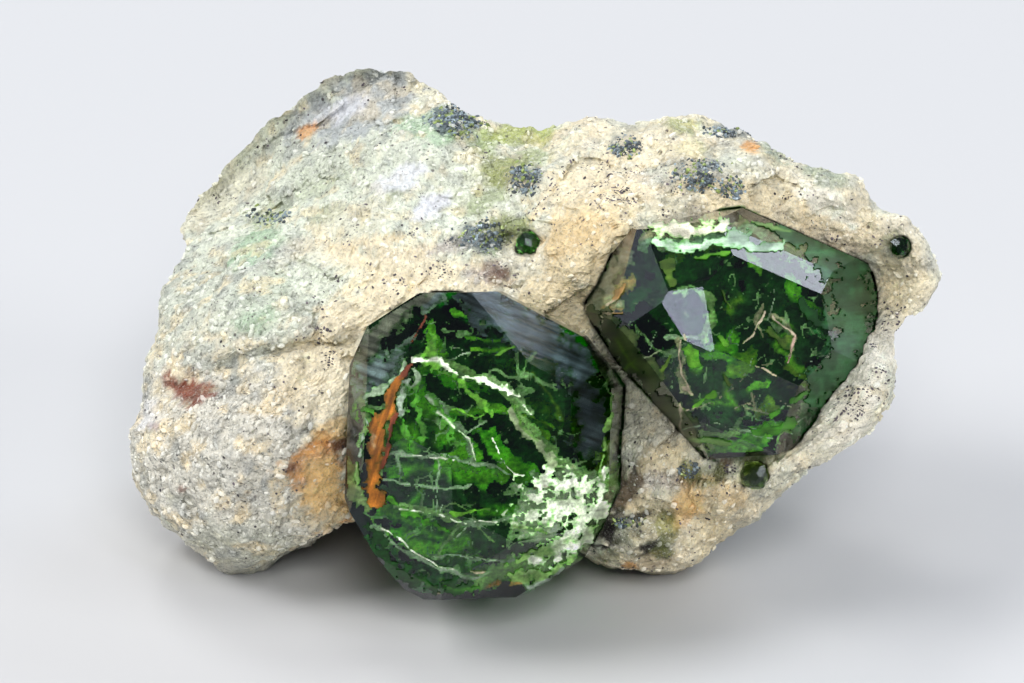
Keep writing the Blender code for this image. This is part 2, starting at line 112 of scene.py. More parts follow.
# Points that the back half passes through, (x, y, z): the underside, then the walls
BACK_POINTS = [
    (-13.0, 5.5, -1.0), (-13.5, 9.5, -0.6), (-12.0, 13.5, 0.6), (-8.5, 6.0, 0.4),
    (-8.0, 10.5, -1.2), (-8.0, 15.0, 0.2), (-3.0, 7.5, -0.8), (-1.0, 11.0, -1.8),
    (-1.0, 14.8, -0.4), (5.0, 4.6, -1.0), (5.5, 8.5, -1.6), (5.5, 12.5, 0.2),
    (10.5, 7.5, 1.6), (10.5, 10.5, 2.4), (14.0, 8.0, 5.2),
    (-15.8, 11.0, 5.5), (-15.2, 15.0, 7.0), (-12.0, 17.6, 5.0), (-12.6, 18.8, 12.0),
    (-6.5, 18.6, 5.5), (-7.0, 20.4, 13.0), (0.0, 17.6, 4.5), (0.0, 18.4, 12.0),
    (5.8, 16.0, 5.5), (6.0, 16.2, 13.5), (11.0, 13.6, 7.0), (11.0, 14.6, 13.0),
    (14.8, 11.0, 8.0), (15.2, 12.2, 12.0), (-3.5, 18.2, 15.5),
]

# Lumps and hollows of the front: (u, v, half width, half height, turn in degrees, height).
# A height above zero stands out of the rock and one below zero is a hollow.
FRONT_FEATURES = [
    (2.6, 15.3, 2.1, 2.4, 20, 0.75),
    (-0.9, 15.4, 1.2, 0.55, 8, -1.5),
    (-0.1, 18.2, 1.3, 0.9, -25, 0.45),
    (4.2, 19.7, 1.0, 0.55, -20, 0.5),
    (7.8, 18.3, 1.5, 0.8, -30, 0.5),
    (-3.3, 20.9, 1.5, 0.8, 30, 0.4),
    (-6.2, 18.0, 1.6, 0.6, 35, 0.35),
    (-12.0, 16.9, 2.2, 0.5, 40, -0.7),
    (5.5, 3.5, 1.3, 0.45, -12, -0.8),
    (3.9, 4.3, 1.2, 0.55, 25, 0.5),
    (4.3, 2.3, 1.5, 0.55, 5, 0.5),
    (-10.2, 6.2, 1.9, 1.5, 60, 0.35),
    (-15.6, 8.9, 0.9, 0.6, -20, 0.3),
    (16.0, 10.8, 1.2, 0.9, 50, 0.35),
    (13.4, 17.4, 1.2, 0.6, -30, 0.4),
    (-14.6, 12.0, 1.6, 1.2, 60, 0.3),
]
# Lumps, ledges and hollows of the back, in the same way
BACK_FEATURES = [
    (-10.5, 17.5, 3.0, 1.2, 15, 0.7),
    (-6.0, 14.5, 1.8, 2.6, -20, -0.7),
    (-12.5, 12.0, 2.0, 1.6, 35, 0.6),
    (-1.5, 17.0, 2.4, 1.3, -10, 0.7),
    (2.0, 12.5, 3.2, 1.0, 12, -0.6),
    (6.5, 15.5, 2.2, 1.4, 30, 0.6),
    (10.5, 11.5, 1.6, 2.4, 15, -0.5),
    (-8.5, 9.5, 2.6, 0.9, -8, 0.6),
    (13.0, 14.0, 1.6, 1.1, 50, 0.5),
    (0.5, 8.5, 2.0, 1.2, 25, 0.5),
]
# The crack that parts the upper from the lower mass at the left, (u, v)
CRACK_PATH = [(-16.9, 8.3), (-14.9, 9.4), (-12.6, 10.2), (-10.3, 10.7), (-8.0, 10.9)]
CRACK_DEPTH = 0.55
CRACK_HALF_WIDTH = 0.3

# Grain of the rock: (cell size, height, seed) of the swells, then of the tilted chips
SWELLS = [(4.2, 0.40, 20), (2.1, 0.24, 21)]
CHIPS = [(3.4, 0.9, 11), (1.7, 0.4, 12)]
# The core line from which the swells push outward: half length, y and z
CORE_HALF_LENGTH = 9.0
CORE_PLACE = (8.0, 9.0)

# Underside: height above the floor, how softly the stone flattens to it, its swell
# (cell size, height, seed), and the patches that reach the floor
UNDERSIDE_HEIGHT = 1.0
UNDERSIDE_SOFTNESS = 0.5
UNDERSIDE_SWELL = (3.0, 0.35, 5)
# (x, y, half length, half width, drop)
CONTACT_PATCHES = [
    (-1.0, 10.0, 7.0, 4.4, 2.8),
    (-13.0, 4.6, 2.8, 2.4, 2.6),
    (5.2, 4.4, 2.8, 2.0, 2.6),
]

# Finer grain laid on the rock along its own normals: (cell size, height, seed)
FINE_SWELLS = [(1.1, 0.10, 41), (0.55, 0.07, 42), (0.32, 0.05, 43)]
GRAINS = [(0.75, 0.13, 51), (0.42, 0.08, 52)]
FINE_CHIPS = [(0.9, 0.16, 31)]

# Colours of the rock, linear, and how grainy each is, with a black for the painted shade in crevices
PALETTE = {
    "cream": (0.94, 0.82, 0.57, 0.25), "cream_white": (0.98, 0.92, 0.76, 0.2),
    "pale_buff": (0.78, 0.73, 0.55, 0.5), "tan": (0.93, 0.77, 0.47, 0.3),
    "tan_deep": (0.72, 0.50, 0.22, 0.35), "tan_pink": (0.93, 0.79, 0.54, 0.3),
    "grey_stone": (0.70, 0.67, 0.58, 1.0), "white_green": (0.76, 0.80, 0.65, 0.6),
    "green_grey": (0.60, 0.63, 0.52, 0.85), "grey_green": (0.36, 0.42, 0.30, 0.7),
    "mint": (0.34, 0.55, 0.32, 0.7), "lilac_white": (0.84, 0.85, 0.90, 0.15),
    "lilac_grey": (0.45, 0.48, 0.49, 0.5), "yellow_cream": (0.88, 0.82, 0.58, 0.3),
    "yellow_green": (0.42, 0.47, 0.14, 0.4), "olive": (0.33, 0.36, 0.12, 0.35),
    "olive_dark": (0.12, 0.14, 0.03, 0.25), "rust": (0.62, 0.27, 0.05, 0.2),
    "rust_deep": (0.14, 0.045, 0.02, 0.1), "orange": (0.80, 0.36, 0.07, 0.2),
    "red_brown": (0.24, 0.05, 0.02, 0.12), "brown": (0.16, 0.09, 0.06, 0.25),
    "brown_gold": (0.32, 0.18, 0.06, 0.25), "crevice_shade_black": (0.014, 0.011, 0.007, 0.0),
    "dark_crust": (0.13, 0.17, 0.19, 0.25), "orange_cream": (1.0, 0.66, 0.27, 0.15),
    "violet_specks": (0.50, 0.42, 0.38, 0.7), "moss_rock": (0.30, 0.38, 0.14, 0.5),
}
# Mottling of the grainy rock, and the socket walls: painted shade in the gap round each crystal, with a
# painted green glow of light through the crystals here and there
WARM_MOTTLE = (0.95, 0.75, 0.42)
COLD_MOTTLE = (0.20, 0.22, 0.22)
SOCKET_PAINTED_SHADE = (0.030, 0.028, 0.014, 0.0)
SOCKET_PAINTED_GLOW = (0.08, 0.22, 0.03, 0.0)
# Colours of what is grown into the crystals, linear, and of the painted shade and painted reflection laid
# with them
GROWTH = {
    "pale_green": (0.50, 0.80, 0.28), "milk_green": (0.68, 0.92, 0.50), "milk": (0.94, 1.0, 0.80),
    "frost": (0.80, 0.98, 0.76), "leaf": (0.50, 1.0, 0.08), "leaf_pale": (0.48, 0.86, 0.22),
    "emerald": (0.36, 0.86, 0.06), "deep_green": (0.01, 0.16, 0.015), "moss": (0.42, 0.60, 0.05),
    "moss_pale": (0.46, 0.55, 0.22), "rust_fleck": (0.20, 0.06, 0.03),
    "orange_fleck": (0.85, 0.45, 0.10), "etched": (0.42, 0.50, 0.50),
    "rust_seam": (0.22, 0.05, 0.02), "orange_seam": (0.36, 0.12, 0.012), "sand": (0.66, 0.46, 0.22),
    "cream_skin": (0.80, 0.76, 0.58), "cream_vein": (0.95, 0.80, 0.55),
    "pink_vein": (0.95, 0.62, 0.48), "mint": (0.52, 0.78, 0.56), "orange_skin": (0.75, 0.45, 0.14),
    "crackle": (0.40, 0.62, 0.30), "milk_skin": (0.90, 0.98, 0.76), "leaf_skin": (0.22, 0.42, 0.10),
    "mint_skin": (0.58, 0.82, 0.56), "frost_skin": (0.28, 0.36, 0.27),
    "emerald_skin": (0.052, 0.22, 0.012), "murky_skin": (0.035, 0.055, 0.012),
    "leaf_bright": (0.10, 0.31, 0.018), "deep_skin": (0.008, 0.06, 0.008),
    "olive_skin": (0.07, 0.14, 0.01), "frost_line": (0.30, 0.42, 0.26),
    "pale_skin": (0.80, 0.96, 0.62), "crumbly_skin": (0.26, 0.34, 0.17),
    "cream_line": (0.46, 0.38, 0.27), "pink_line": (0.50, 0.34, 0.26),
    "cream_chip": (0.50, 0.42, 0.28), "orange_chip": (0.46, 0.26, 0.08),
    "orange_fleck_skin": (0.48, 0.24, 0.05), "painted_shade_green": (0.03, 0.115, 0.04),
    "haze": (0.05, 0.27, 0.08), "smoke": (0.30, 0.30, 0.24), "slate": (0.15, 0.21, 0.26),
    "dark_slate": (0.085, 0.11, 0.14), "blue_etch_and_reflection": (0.34, 0.42, 0.46), "murk": (0.02, 0.11, 0.02),
}
# Strokes of each growth as seen from the front: (colour, half width, path of (u, v))
LEFT_SKIN = [
    ("pale_skin", 1.35, [(0.13, 3.80), (1.31, 4.17), (2.03, 4.07)]),
    ("pale_skin", 0.50, [(2.90, 4.53), (3.03, 3.62), (2.22, 2.62), (0.94, 1.89)]),
    ("frost_skin", 0.24, [(-5.46, 9.16), (-5.62, 7.80)]),
    ("frost_line", 0.16, [(-5.51, 10.07), (-5.78, 9.44), (-6.33, 8.89)]),
    ("frost_line", 0.18, [(-7.24, 8.44), (-6.78, 8.71), (-6.24, 8.98)]),
    ("frost_line", 0.12, [(-5.19, 9.80), (-4.92, 9.35), (-5.15, 8.98)]),
    ("frost_skin", 0.16, [(-7.33, 7.44), (-7.49, 5.98)]),
    ("leaf_skin", 0.13, [(-7.60, 5.71), (-7.60, 4.80)]),
    ("cream_chip", 0.08, [(-7.65, 5.62), (-7.60, 5.39)]),
    ("milk_skin", 0.16, [(-0.51, 4.80), (-0.87, 4.26)]),
    ("milk_skin", 0.24, [(2.22, 4.26), (2.31, 3.53)]),
    ("frost_line", 0.06, [(-3.42, 2.35), (-2.69, 2.89)]),
    ("leaf_skin", 0.16, [(-0.60, 2.98), (0.22, 2.80), (0.76, 2.53)]),
    ("frost_line", 0.05, [(-4.60, 8.62), (-4.24, 8.26), (-3.96, 7.80)]),
    # Painted shade: deep green-black along the underside of the crystal, which overhangs the floor
    ("deep_skin", 0.40, [(-6.6, 1.6), (-5.0, 0.4), (-2.8, 0.1)]),
    ("deep_skin", 0.30, [(-7.2, 3.0), (-6.4, 1.9)]),
    ("emerald_skin", 0.16, [(-5.6, 0.7), (-4.0, 0.2), (-2.4, 0.0)]),
    ("emerald_skin", 0.36, [(-4.96, 8.80), (-4.69, 7.89), (-4.69, 6.80)]),
    ("emerald_skin", 0.34, [(-3.96, 8.07), (-3.42, 7.35), (-3.06, 6.26)]),
    ("emerald_skin", 0.22, [(-5.60, 7.35), (-5.51, 6.44)]),
    ("leaf_bright", 0.20, [(-4.60, 9.98), (-3.42, 9.44), (-2.15, 8.53), (-1.60, 7.80)]),
    ("leaf_bright", 0.24, [(-4.19, 11.07), (-4.37, 10.26)]),
    ("leaf_bright", 0.12, [(-3.42, 7.89), (-2.69, 7.80), (-1.97, 7.89)]),
    ("emerald_skin", 0.26, [(-3.96, 5.62), (-2.87, 5.53), (-1.60, 5.35)]),
    ("leaf_bright", 0.13, [(-3.42, 3.48), (-2.69, 3.53), (-1.97, 3.67)]),
    ("emerald_skin", 0.20, [(-4.87, 3.26), (-3.60, 2.80)]),
    ("emerald_skin", 0.18, [(-6.24, 4.07), (-4.87, 3.44)]),
    # Painted shade: deep green-black on the crystal's underside
    ("deep_skin", 0.34, [(-6.06, 0.98), (-5.06, 0.44), (-3.78, 0.26)]),
    ("leaf_bright", 0.13, [(-0.87, 8.07), (-0.33, 7.35), (0.22, 6.62)]),
    ("leaf_bright", 0.10, [(-2.60, 10.35), (-1.78, 10.39), (-0.69, 10.76)]),
    ("emerald_skin", 0.12, [(-7.33, 7.98), (-6.87, 7.71)]),
    ("milk_skin", 0.12, [(-5.15, 10.21), (-4.15, 10.03), (-3.06, 9.39), (-2.15, 9.30)]),
    ("milk_skin", 0.17, [(-1.97, 9.26), (-1.06, 8.89), (-0.42, 8.35), (0.03, 7.89)]),
    ("milk_skin", 0.08, [(-4.06, 7.89), (-3.33, 7.30), (-2.69, 6.71), (-2.51, 5.89)]),
    ("milk_skin", 0.06, [(-1.78, 6.80), (-1.33, 5.89), (-0.78, 5.35), (0.22, 4.98)]),
    ("milk_skin", 0.05, [(-5.60, 6.03), (-4.87, 5.98), (-4.06, 5.85), (-3.06, 5.80), (-2.24, 5.67)]),
    ("frost_line", 0.04, [(-4.06, 5.80), (-3.96, 4.62), (-3.95, 3.53)]),
    ("frost_line", 0.04, [(-6.42, 4.94), (-5.51, 4.76), (-4.51, 4.62), (-3.42, 4.71)]),
    ("milk_skin", 0.06, [(-5.87, 3.71), (-4.87, 3.67), (-4.15, 3.44), (-3.42, 3.26), (-2.69, 2.98),
                         (-1.60, 3.12), (-0.69, 3.26)]),
    ("milk_skin", 0.06, [(-6.78, 2.89), (-5.87, 2.44), (-5.15, 1.80), (-4.24, 1.26), (-3.42, 0.98)]),
    ("frost_line", 0.05, [(-4.51, 1.62), (-3.42, 1.62), (-2.15, 1.48), (-1.24, 1.53)]),
    ("frost_line", 0.04, [(-2.69, 2.98), (-3.42, 2.35), (-3.78, 1.80)]),
    ("frost_line", 0.04, [(-2.58, 2.98), (-2.51, 2.35), (-2.51, 1.62)]),
    ("frost_line", 0.03, [(-3.96, 7.89), (-3.87, 7.07), (-3.78, 5.98)]),
    ("frost_line", 0.03, [(-3.78, 10.71), (-3.15, 10.71), (-2.69, 10.44)]),
    ("frost_line", 0.03, [(-2.69, 6.71), (-1.97, 7.17), (-1.06, 8.07)]),
    ("frost_line", 0.04, [(-5.51, 4.76), (-5.42, 4.26), (-5.87, 3.71)]),
    ("crumbly_skin", 0.22, [(-0.33, 7.35), (0.40, 6.26), (1.22, 5.62)]),
    ("crumbly_skin", 0.14, [(-0.97, 7.89), (-0.51, 7.44), (-0.15, 6.98)]),
    ("milk_skin", 0.86, [(-0.06, 4.07), (1.03, 4.62), (1.94, 4.76)]),
    ("milk_skin", 0.66, [(0.22, 3.53), (1.31, 3.62)]),
    ("milk_skin", 0.42, [(2.76, 4.71), (3.08, 3.80), (2.31, 2.80), (1.31, 2.21)]),
    ("leaf_skin", 0.24, [(2.85, 2.89), (1.49, 2.12), (0.13, 1.62), (-0.97, 1.21)]),
    ("milk_skin", 0.28, [(2.31, 2.26), (1.13, 1.62), (0.13, 1.17)]),
    ("leaf_skin", 0.34, [(1.76, 1.44), (0.58, 0.89), (-0.69, 0.62)]),
    ("frost_skin", 0.24, [(1.31, 0.98), (0.58, 0.44), (-0.33, 0.21)]),
    ("leaf_skin", 0.13, [(3.44, 8.53), (3.53, 7.89), (3.35, 6.98), (3.13, 5.98), (2.99, 4.98)]),
    ("frost_line", 0.04, [(4.35, 7.35), (4.13, 6.44), (3.76, 5.35)]),
    ("milk_skin", 0.10, [(3.03, 4.98), (3.22, 5.53)]),
    ("rust_fleck", 0.07, [(0.63, 4.76), (0.90, 4.71)]),
    ("rust_fleck", 0.05, [(0.08, 4.62), (0.26, 4.59)]),
    ("rust_fleck", 0.05, [(0.40, 4.26), (0.44, 4.21)]),
    ("orange_fleck_skin", 0.09, [(-1.92, 0.30), (-1.51, 0.35)]),
    ("orange_fleck_skin", 0.08, [(-0.87, 0.37), (-0.51, 0.38)]),
    ("cream_chip", 0.07, [(-2.87, 0.85), (-2.15, 0.80)]),
    ("cream_chip", 0.05, [(-6.78, 1.07), (-6.46, 0.76)]),
    ("cream_chip", 0.05, [(-4.06, -0.11), (-3.60, -0.24)]),
]
# Blue-grey of the etched face: partly its own frosted etching, partly a painted reflection of the bluish
# surround in it
LEFT_ETCHED_AND_REFLECTION = [
    ("slate", 1.05, [(-2.2, 12.7), (0.2, 11.3), (2.2, 9.9)]),
    ("dark_slate", 0.75, [(2.6, 8.6), (2.6, 6.6)]),
    ("smoke", 0.42, [(-7.5, 10.5), (-5.4, 12.8), (-4.2, 13.1)]),
    ("blue_etch_and_reflection", 0.75, [(-7.1, 9.6), (-6.2, 9.9)]),
    ("blue_etch_and_reflection", 0.30, [(-4.7, 12.6), (-3.8, 13.0)]),
]
RIGHT_SKIN = [
    # Painted shade: matt dark green over the right crystal's steep right facets
    ("painted_shade_green", 1.35, [(14.0, 14.1), (14.5, 12.9), (14.2, 11.6)]),
    ("painted_shade_green", 0.75, [(11.6, 15.7), (13.0, 15.2), (14.4, 14.6)]),
    ("painted_shade_green", 0.8, [(14.1, 11.4), (13.5, 10.2), (12.6, 8.6)]),
    ("murky_skin", 0.62, [(3.15, 12.0), (5.1, 9.3), (7.0, 6.4)]),
    ("olive_skin", 0.14, [(3.6, 11.2), (4.6, 9.7)]),
    ("cream_skin", 0.34, [(5.60, 15.92), (6.96, 15.97), (8.50, 16.11)]),
    ("mint_skin", 0.32, [(5.89, 15.24), (7.54, 15.29), (9.08, 15.43)]),
    ("mint_skin", 0.26, [(9.08, 15.43), (10.14, 15.24), (11.01, 15.10)]),
    ("mint_skin", 0.20, [(5.41, 15.43), (6.28, 15.00)]),
    ("leaf_skin", 0.14, [(9.66, 16.21), (10.63, 16.01), (11.50, 15.82)]),
    ("leaf_bright", 0.12, [(7.15, 14.61), (8.70, 14.74)]),
    ("cream_line", 0.07, [(6.47, 11.09), (6.42, 10.31), (6.57, 9.54), (6.86, 8.96)]),
    ("cream_line", 0.15, [(6.71, 8.96), (7.00, 8.77)]),
    ("cream_line", 0.15, [(6.38, 8.14), (6.47, 7.99)]),
    ("cream_line", 0.07, [(6.47, 7.99), (6.57, 7.41), (6.76, 6.83)]),
    ("cream_line", 0.10, [(6.57, 11.28), (6.68, 11.12)]),
    ("cream_line", 0.09, [(10.14, 12.34), (9.85, 11.86), (9.66, 11.28), (9.18, 10.89)]),
    ("cream_line", 0.08, [(10.43, 12.15), (11.21, 11.57), (11.50, 11.18)]),
    ("pink_line", 0.08, [(11.50, 11.18), (11.26, 10.70), (11.19, 10.12)]),
    ("cream_line", 0.07, [(9.76, 9.93), (10.24, 9.83), (10.72, 9.54)]),
    ("cream_line", 0.06, [(9.47, 8.19), (9.76, 8.67)]),
    ("cream_line", 0.05, [(8.89, 8.09), (9.47, 8.28), (9.95, 7.99), (10.14, 7.80)]),
    ("cream_line", 0.03, [(6.76, 7.99), (7.92, 8.28), (8.70, 8.96), (9.18, 9.54), (9.37, 10.02)]),
    ("frost_line", 0.04, [(5.02, 6.98), (6.09, 7.07), (7.15, 7.22), (8.12, 7.41), (9.08, 7.03),
                          (10.43, 6.74), (11.69, 7.03)]),
    ("leaf_bright", 0.30, [(6.96, 10.60), (7.10, 10.12)]),
    ("leaf_bright", 0.15, [(7.83, 8.62), (7.15, 8.23)]),
    ("olive_skin", 0.16, [(8.41, 9.30), (8.65, 9.06)]),
    ("olive_skin", 0.26, [(10.43, 11.47), (11.01, 11.09)]),
    ("olive_skin", 0.18, [(8.50, 13.11), (8.70, 12.44)]),
    ("olive_skin", 0.24, [(5.89, 14.27), (6.13, 13.50)]),
    ("leaf_bright", 0.15, [(8.16, 11.18), (8.50, 10.80)]),
    ("emerald_skin", 0.24, [(9.47, 7.12), (10.43, 7.03), (11.40, 7.51)]),
    ("leaf_skin", 0.13, [(5.60, 6.69), (7.15, 6.69), (8.70, 6.59)]),
    ("emerald_skin", 0.14, [(10.92, 7.99), (10.43, 7.61)]),
    ("deep_skin", 0.26, [(11.98, 12.63), (12.56, 11.86)]),
    ("olive_skin", 0.16, [(5.60, 9.73), (5.99, 10.31)]),
    ("olive_skin", 0.12, [(4.15, 9.54), (4.54, 10.31)]),
    ("orange_chip", 0.13, [(3.96, 13.40), (3.67, 12.92)]),
    ("cream_chip", 0.10, [(3.67, 12.87), (3.43, 12.68)]),
    ("orange_chip", 0.06, [(3.62, 12.24), (4.01, 12.29)]),
    ("crumbly_skin", 0.05, [(4.93, 10.31), (5.60, 10.60)]),
    ("emerald_skin", 0.16, [(11.50, 8.38), (11.98, 8.77)]),
]
LEFT_DEPTH = [
    ("murk", 8.0, [(-2.0, 6.5), (-1.0, 7.0)]),
    ("moss", 1.3, [(-0.5, 9.5), (1.0, 7.5)]),
    ("leaf", 1.5, [(-4.5, 7.0), (-3.5, 4.0)]),
    ("emerald", 1.5, [(-3.0, 2.0), (1.0, 2.0)]),
]
RIGHT_DEPTH = [
    ("murk", 8.0, [(8.0, 10.5), (9.0, 10.5)]),
    ("moss", 1.4, [(3.5, 11.5), (5.5, 8.5)]),
    ("leaf", 1.0, [(7.0, 7.0), (11.0, 7.5)]),
    ("moss", 1.0, [(10.0, 11.5), (11.0, 10.0)]),
    ("emerald", 2.6, [(13.8, 14.2), (14.6, 11.4)]),
    ("murk", 1.5, [(12.2, 7.8), (13.8, 9.6)]),
]
LEFT_VEINS = [
    ("haze", 0.45, [(4.2, 8.8), (4.4, 6.6), (4.0, 4.9)]),
    ("crackle", 5.5, [(-3.5, 6.0), (-1.0, 8.0)]),
    ("smoke", 0.45, [(-7.4, 10.6), (-5.6, 12.6)]),
    ("pale_green", 0.24, [(-4.86, 10.23), (-3.43, 9.79), (-2.14, 9.34), (-0.98, 8.63)]),
    ("pale_green", 0.30, [(-1.16, 8.90), (-0.80, 7.87), (0.13, 6.80), (1.29, 5.60), (2.23, 5.07)]),
    ("milk_green", 0.30, [(-0.85, 8.45), (-0.13, 8.01)]),
    ("milk_green", 0.18, [(-2.27, 9.43), (-1.38, 9.07), (-0.49, 8.27)]),
    ("frost", 0.22, [(-4.50, 8.63), (-3.79, 7.69), (-2.67, 6.62), (-2.58, 5.91)]),
    ("frost", 0.10, [(-6.15, 6.09), (-3.96, 5.87), (-2.23, 5.69), (-0.89, 5.24)]),
    ("frost", 0.09, [(-6.42, 4.98), (-4.86, 4.71), (-3.79, 4.62), (-2.67, 4.71)]),
    ("frost", 0.07, [(-4.01, 5.91), (-3.92, 4.80), (-3.96, 3.55)]),
    ("pale_green", 0.16, [(-5.88, 3.73), (-4.14, 3.55), (-3.07, 3.15)]),
    ("frost", 0.13, [(-3.07, 3.15), (-1.78, 3.11), (-0.71, 3.28), (0.40, 3.91)]),
    ("frost", 0.13, [(-6.86, 2.88), (-6.15, 2.26), (-5.26, 1.72), (-4.14, 1.23), (-2.90, 0.79),
                     (-1.96, 0.97)]),
    ("frost", 0.09, [(-4.14, 1.81), (-2.67, 1.63), (-1.25, 1.46), (0.22, 2.08), (1.29, 2.97)]),
    ("pale_green", 0.09, [(-3.07, 3.15), (-3.61, 2.35), (-4.05, 1.77)]),
    ("frost", 0.06, [(-1.96, 7.47), (-2.72, 6.94), (-3.39, 6.31)]),
    ("frost", 0.06, [(-2.72, 10.50), (-3.52, 10.05), (-4.05, 9.61)]),
    ("pale_green", 0.07, [(-4.01, 3.55), (-3.25, 4.00), (-2.27, 3.02), (-1.56, 2.30)]),
    ("milk", 1.07, [(-0.04, 3.68), (1.07, 4.35), (2.18, 4.13)]),
    ("milk", 0.80, [(1.51, 4.89), (2.63, 4.35), (3.07, 3.68)]),
    ("milk", 0.67, [(-0.49, 3.24), (0.76, 3.02)]),
    ("milk_green", 0.67, [(3.65, 4.62), (3.21, 3.24), (2.23, 2.26)]),
    ("leaf_pale", 0.58, [(2.63, 2.79), (1.29, 1.90), (-0.49, 1.41), (-2.14, 0.70)]),
    ("milk_green", 0.22, [(3.34, 3.91), (2.63, 2.57), (1.29, 1.77)]),
    ("leaf_pale", 0.62, [(0.85, 0.79), (1.96, 1.23)]),
    ("rust_fleck", 0.13, [(0.13, 4.62), (0.31, 4.66)]),
    ("rust_fleck", 0.10, [(0.71, 4.80), (0.80, 4.84)]),
    ("rust_fleck", 0.07, [(0.45, 4.31), (1.07, 4.44)]),
    ("orange_fleck", 0.11, [(-1.96, 0.34), (-1.38, 0.48)]),
    ("orange_fleck", 0.09, [(-0.94, 0.39), (-0.49, 0.48)]),
    ("moss_pale", 0.13, [(3.56, 8.63), (3.65, 7.34), (3.21, 6.18), (3.03, 5.07)]),
    ("frost", 0.04, [(4.41, 7.34), (4.05, 6.36), (3.74, 5.33)]),
    ("pale_green", 0.22, [(2.54, 7.47), (2.63, 5.91)]),
    ("leaf_pale", 0.53, [(3.52, 4.89), (4.41, 5.24), (4.77, 4.44)]),
    ("frost", 0.22, [(-5.79, 9.25), (-5.57, 7.83)]),
    # Grey-blue patches on the etched face: partly real etching, partly painted reflection
    ("etched", 0.76, [(-7.08, 9.79), (-6.19, 9.88)]),
    ("etched", 0.36, [(-7.53, 8.81), (-6.73, 8.99)]),
    ("etched", 0.18, [(-4.63, 12.37), (-4.23, 12.73), (-3.83, 13.00)]),
    ("etched", 0.18, [(-5.84, 10.59), (-5.21, 11.12)]),
    ("pale_green", 0.18, [(-7.35, 8.54), (-7.08, 7.47), (-7.26, 6.36)]),
    ("pale_green", 0.13, [(-6.19, 7.92), (-6.28, 6.58), (-6.50, 5.24)]),
    ("moss_pale", 0.27, [(-7.80, 5.60), (-7.62, 4.58), (-7.26, 3.91)]),
    ("frost", 0.11, [(-5.93, 6.05), (-5.75, 5.24)]),
]
LEFT_VEILS = [
    ("murk", 1.6, [(-5.0, 7.5), (-4.0, 4.0)]),
    ("murk", 1.3, [(-4.5, 3.5), (0.5, 2.5)]),
    ("murk", 1.0, [(-1.0, 11.0), (1.0, 8.5)]),
    ("emerald", 0.76, [(-4.95, 8.45), (-4.14, 7.47), (-3.52, 6.58)]),
    ("emerald", 0.62, [(-5.61, 7.25), (-4.95, 6.36)]),
    ("leaf", 0.40, [(-4.46, 11.21), (-4.23, 10.50), (-4.05, 10.05)]),
    ("emerald", 0.36, [(-4.50, 9.52), (-3.25, 9.16), (-2.05, 8.81)]),
    ("leaf", 0.27, [(-3.88, 7.74), (-2.49, 7.83), (-1.02, 7.74)]),
    ("leaf", 0.31, [(-3.39, 6.58), (-2.72, 6.05), (-4.05, 5.24)]),
    ("emerald", 0.40, [(-5.84, 5.60), (-4.05, 5.24), (-1.38, 5.33)]),
    ("emerald", 0.40, [(-6.37, 3.91), (-4.50, 3.19), (-2.72, 2.66)]),
    ("emerald", 0.36, [(-2.27, 3.55), (-0.71, 3.68), (0.40, 3.37)]),
    ("leaf", 0.45, [(-5.61, 2.57), (-4.05, 2.21), (-3.07, 2.57)]),
    ("emerald", 0.40, [(-1.83, 6.58), (-1.16, 6.05), (-0.49, 5.24)]),
    ("leaf", 0.13, [(-2.58, 10.50), (-1.60, 10.32), (-0.49, 10.59)]),
    ("emerald", 0.13, [(-2.72, 11.04), (-1.38, 10.81), (-0.71, 11.21)]),
    ("emerald", 0.18, [(-3.16, 12.02), (-2.27, 11.84)]),
    ("moss", 0.13, [(-0.04, 9.48), (0.62, 8.58), (1.07, 7.25)]),
    ("moss", 0.18, [(-0.27, 7.47), (0.62, 6.94)]),
    ("leaf", 0.36, [(-1.38, 1.59), (0.40, 2.13), (2.18, 3.02)]),
    ("emerald", 0.27, [(-7.08, 8.01), (-7.08, 7.74)]),
    ("emerald", 0.31, [(-6.28, 7.25), (-6.19, 6.36)]),
    # Painted shade: deep green behind the crystal's shaded underside
    ("deep_green", 0.89, [(-6.50, 1.90), (-4.95, 0.79), (-3.16, 0.34)]),
    ("leaf", 0.22, [(-4.05, 0.70), (-2.72, 0.34)]),
    ("leaf", 0.31, [(-6.73, 3.02), (-6.19, 2.57)]),
    ("emerald", 0.22, [(-4.95, 4.13), (-4.50, 4.80)]),
    ("moss", 0.27, [(2.63, 6.58), (2.72, 5.24)]),
]
RUST_SEAM = [
    ("rust_seam", 0.10, [(-4.63, 12.06), (-4.90, 11.48), (-5.17, 10.99)]),
    ("rust_seam", 0.16, [(-5.35, 10.05), (-5.61, 9.61), (-5.79, 9.34)]),
    ("orange_seam", 0.25, [(-5.79, 9.34), (-6.24, 8.27), (-6.50, 7.56)]),
    ("orange_seam", 0.38, [(-6.59, 7.29), (-6.82, 6.22), (-6.99, 4.98), (-6.77, 4.17)]),
    ("sand", 0.18, [(-6.82, 6.85), (-6.86, 6.40)]),
    ("rust_seam", 0.13, [(-6.01, 7.92), (-6.24, 6.76), (-6.42, 5.69)]),
]
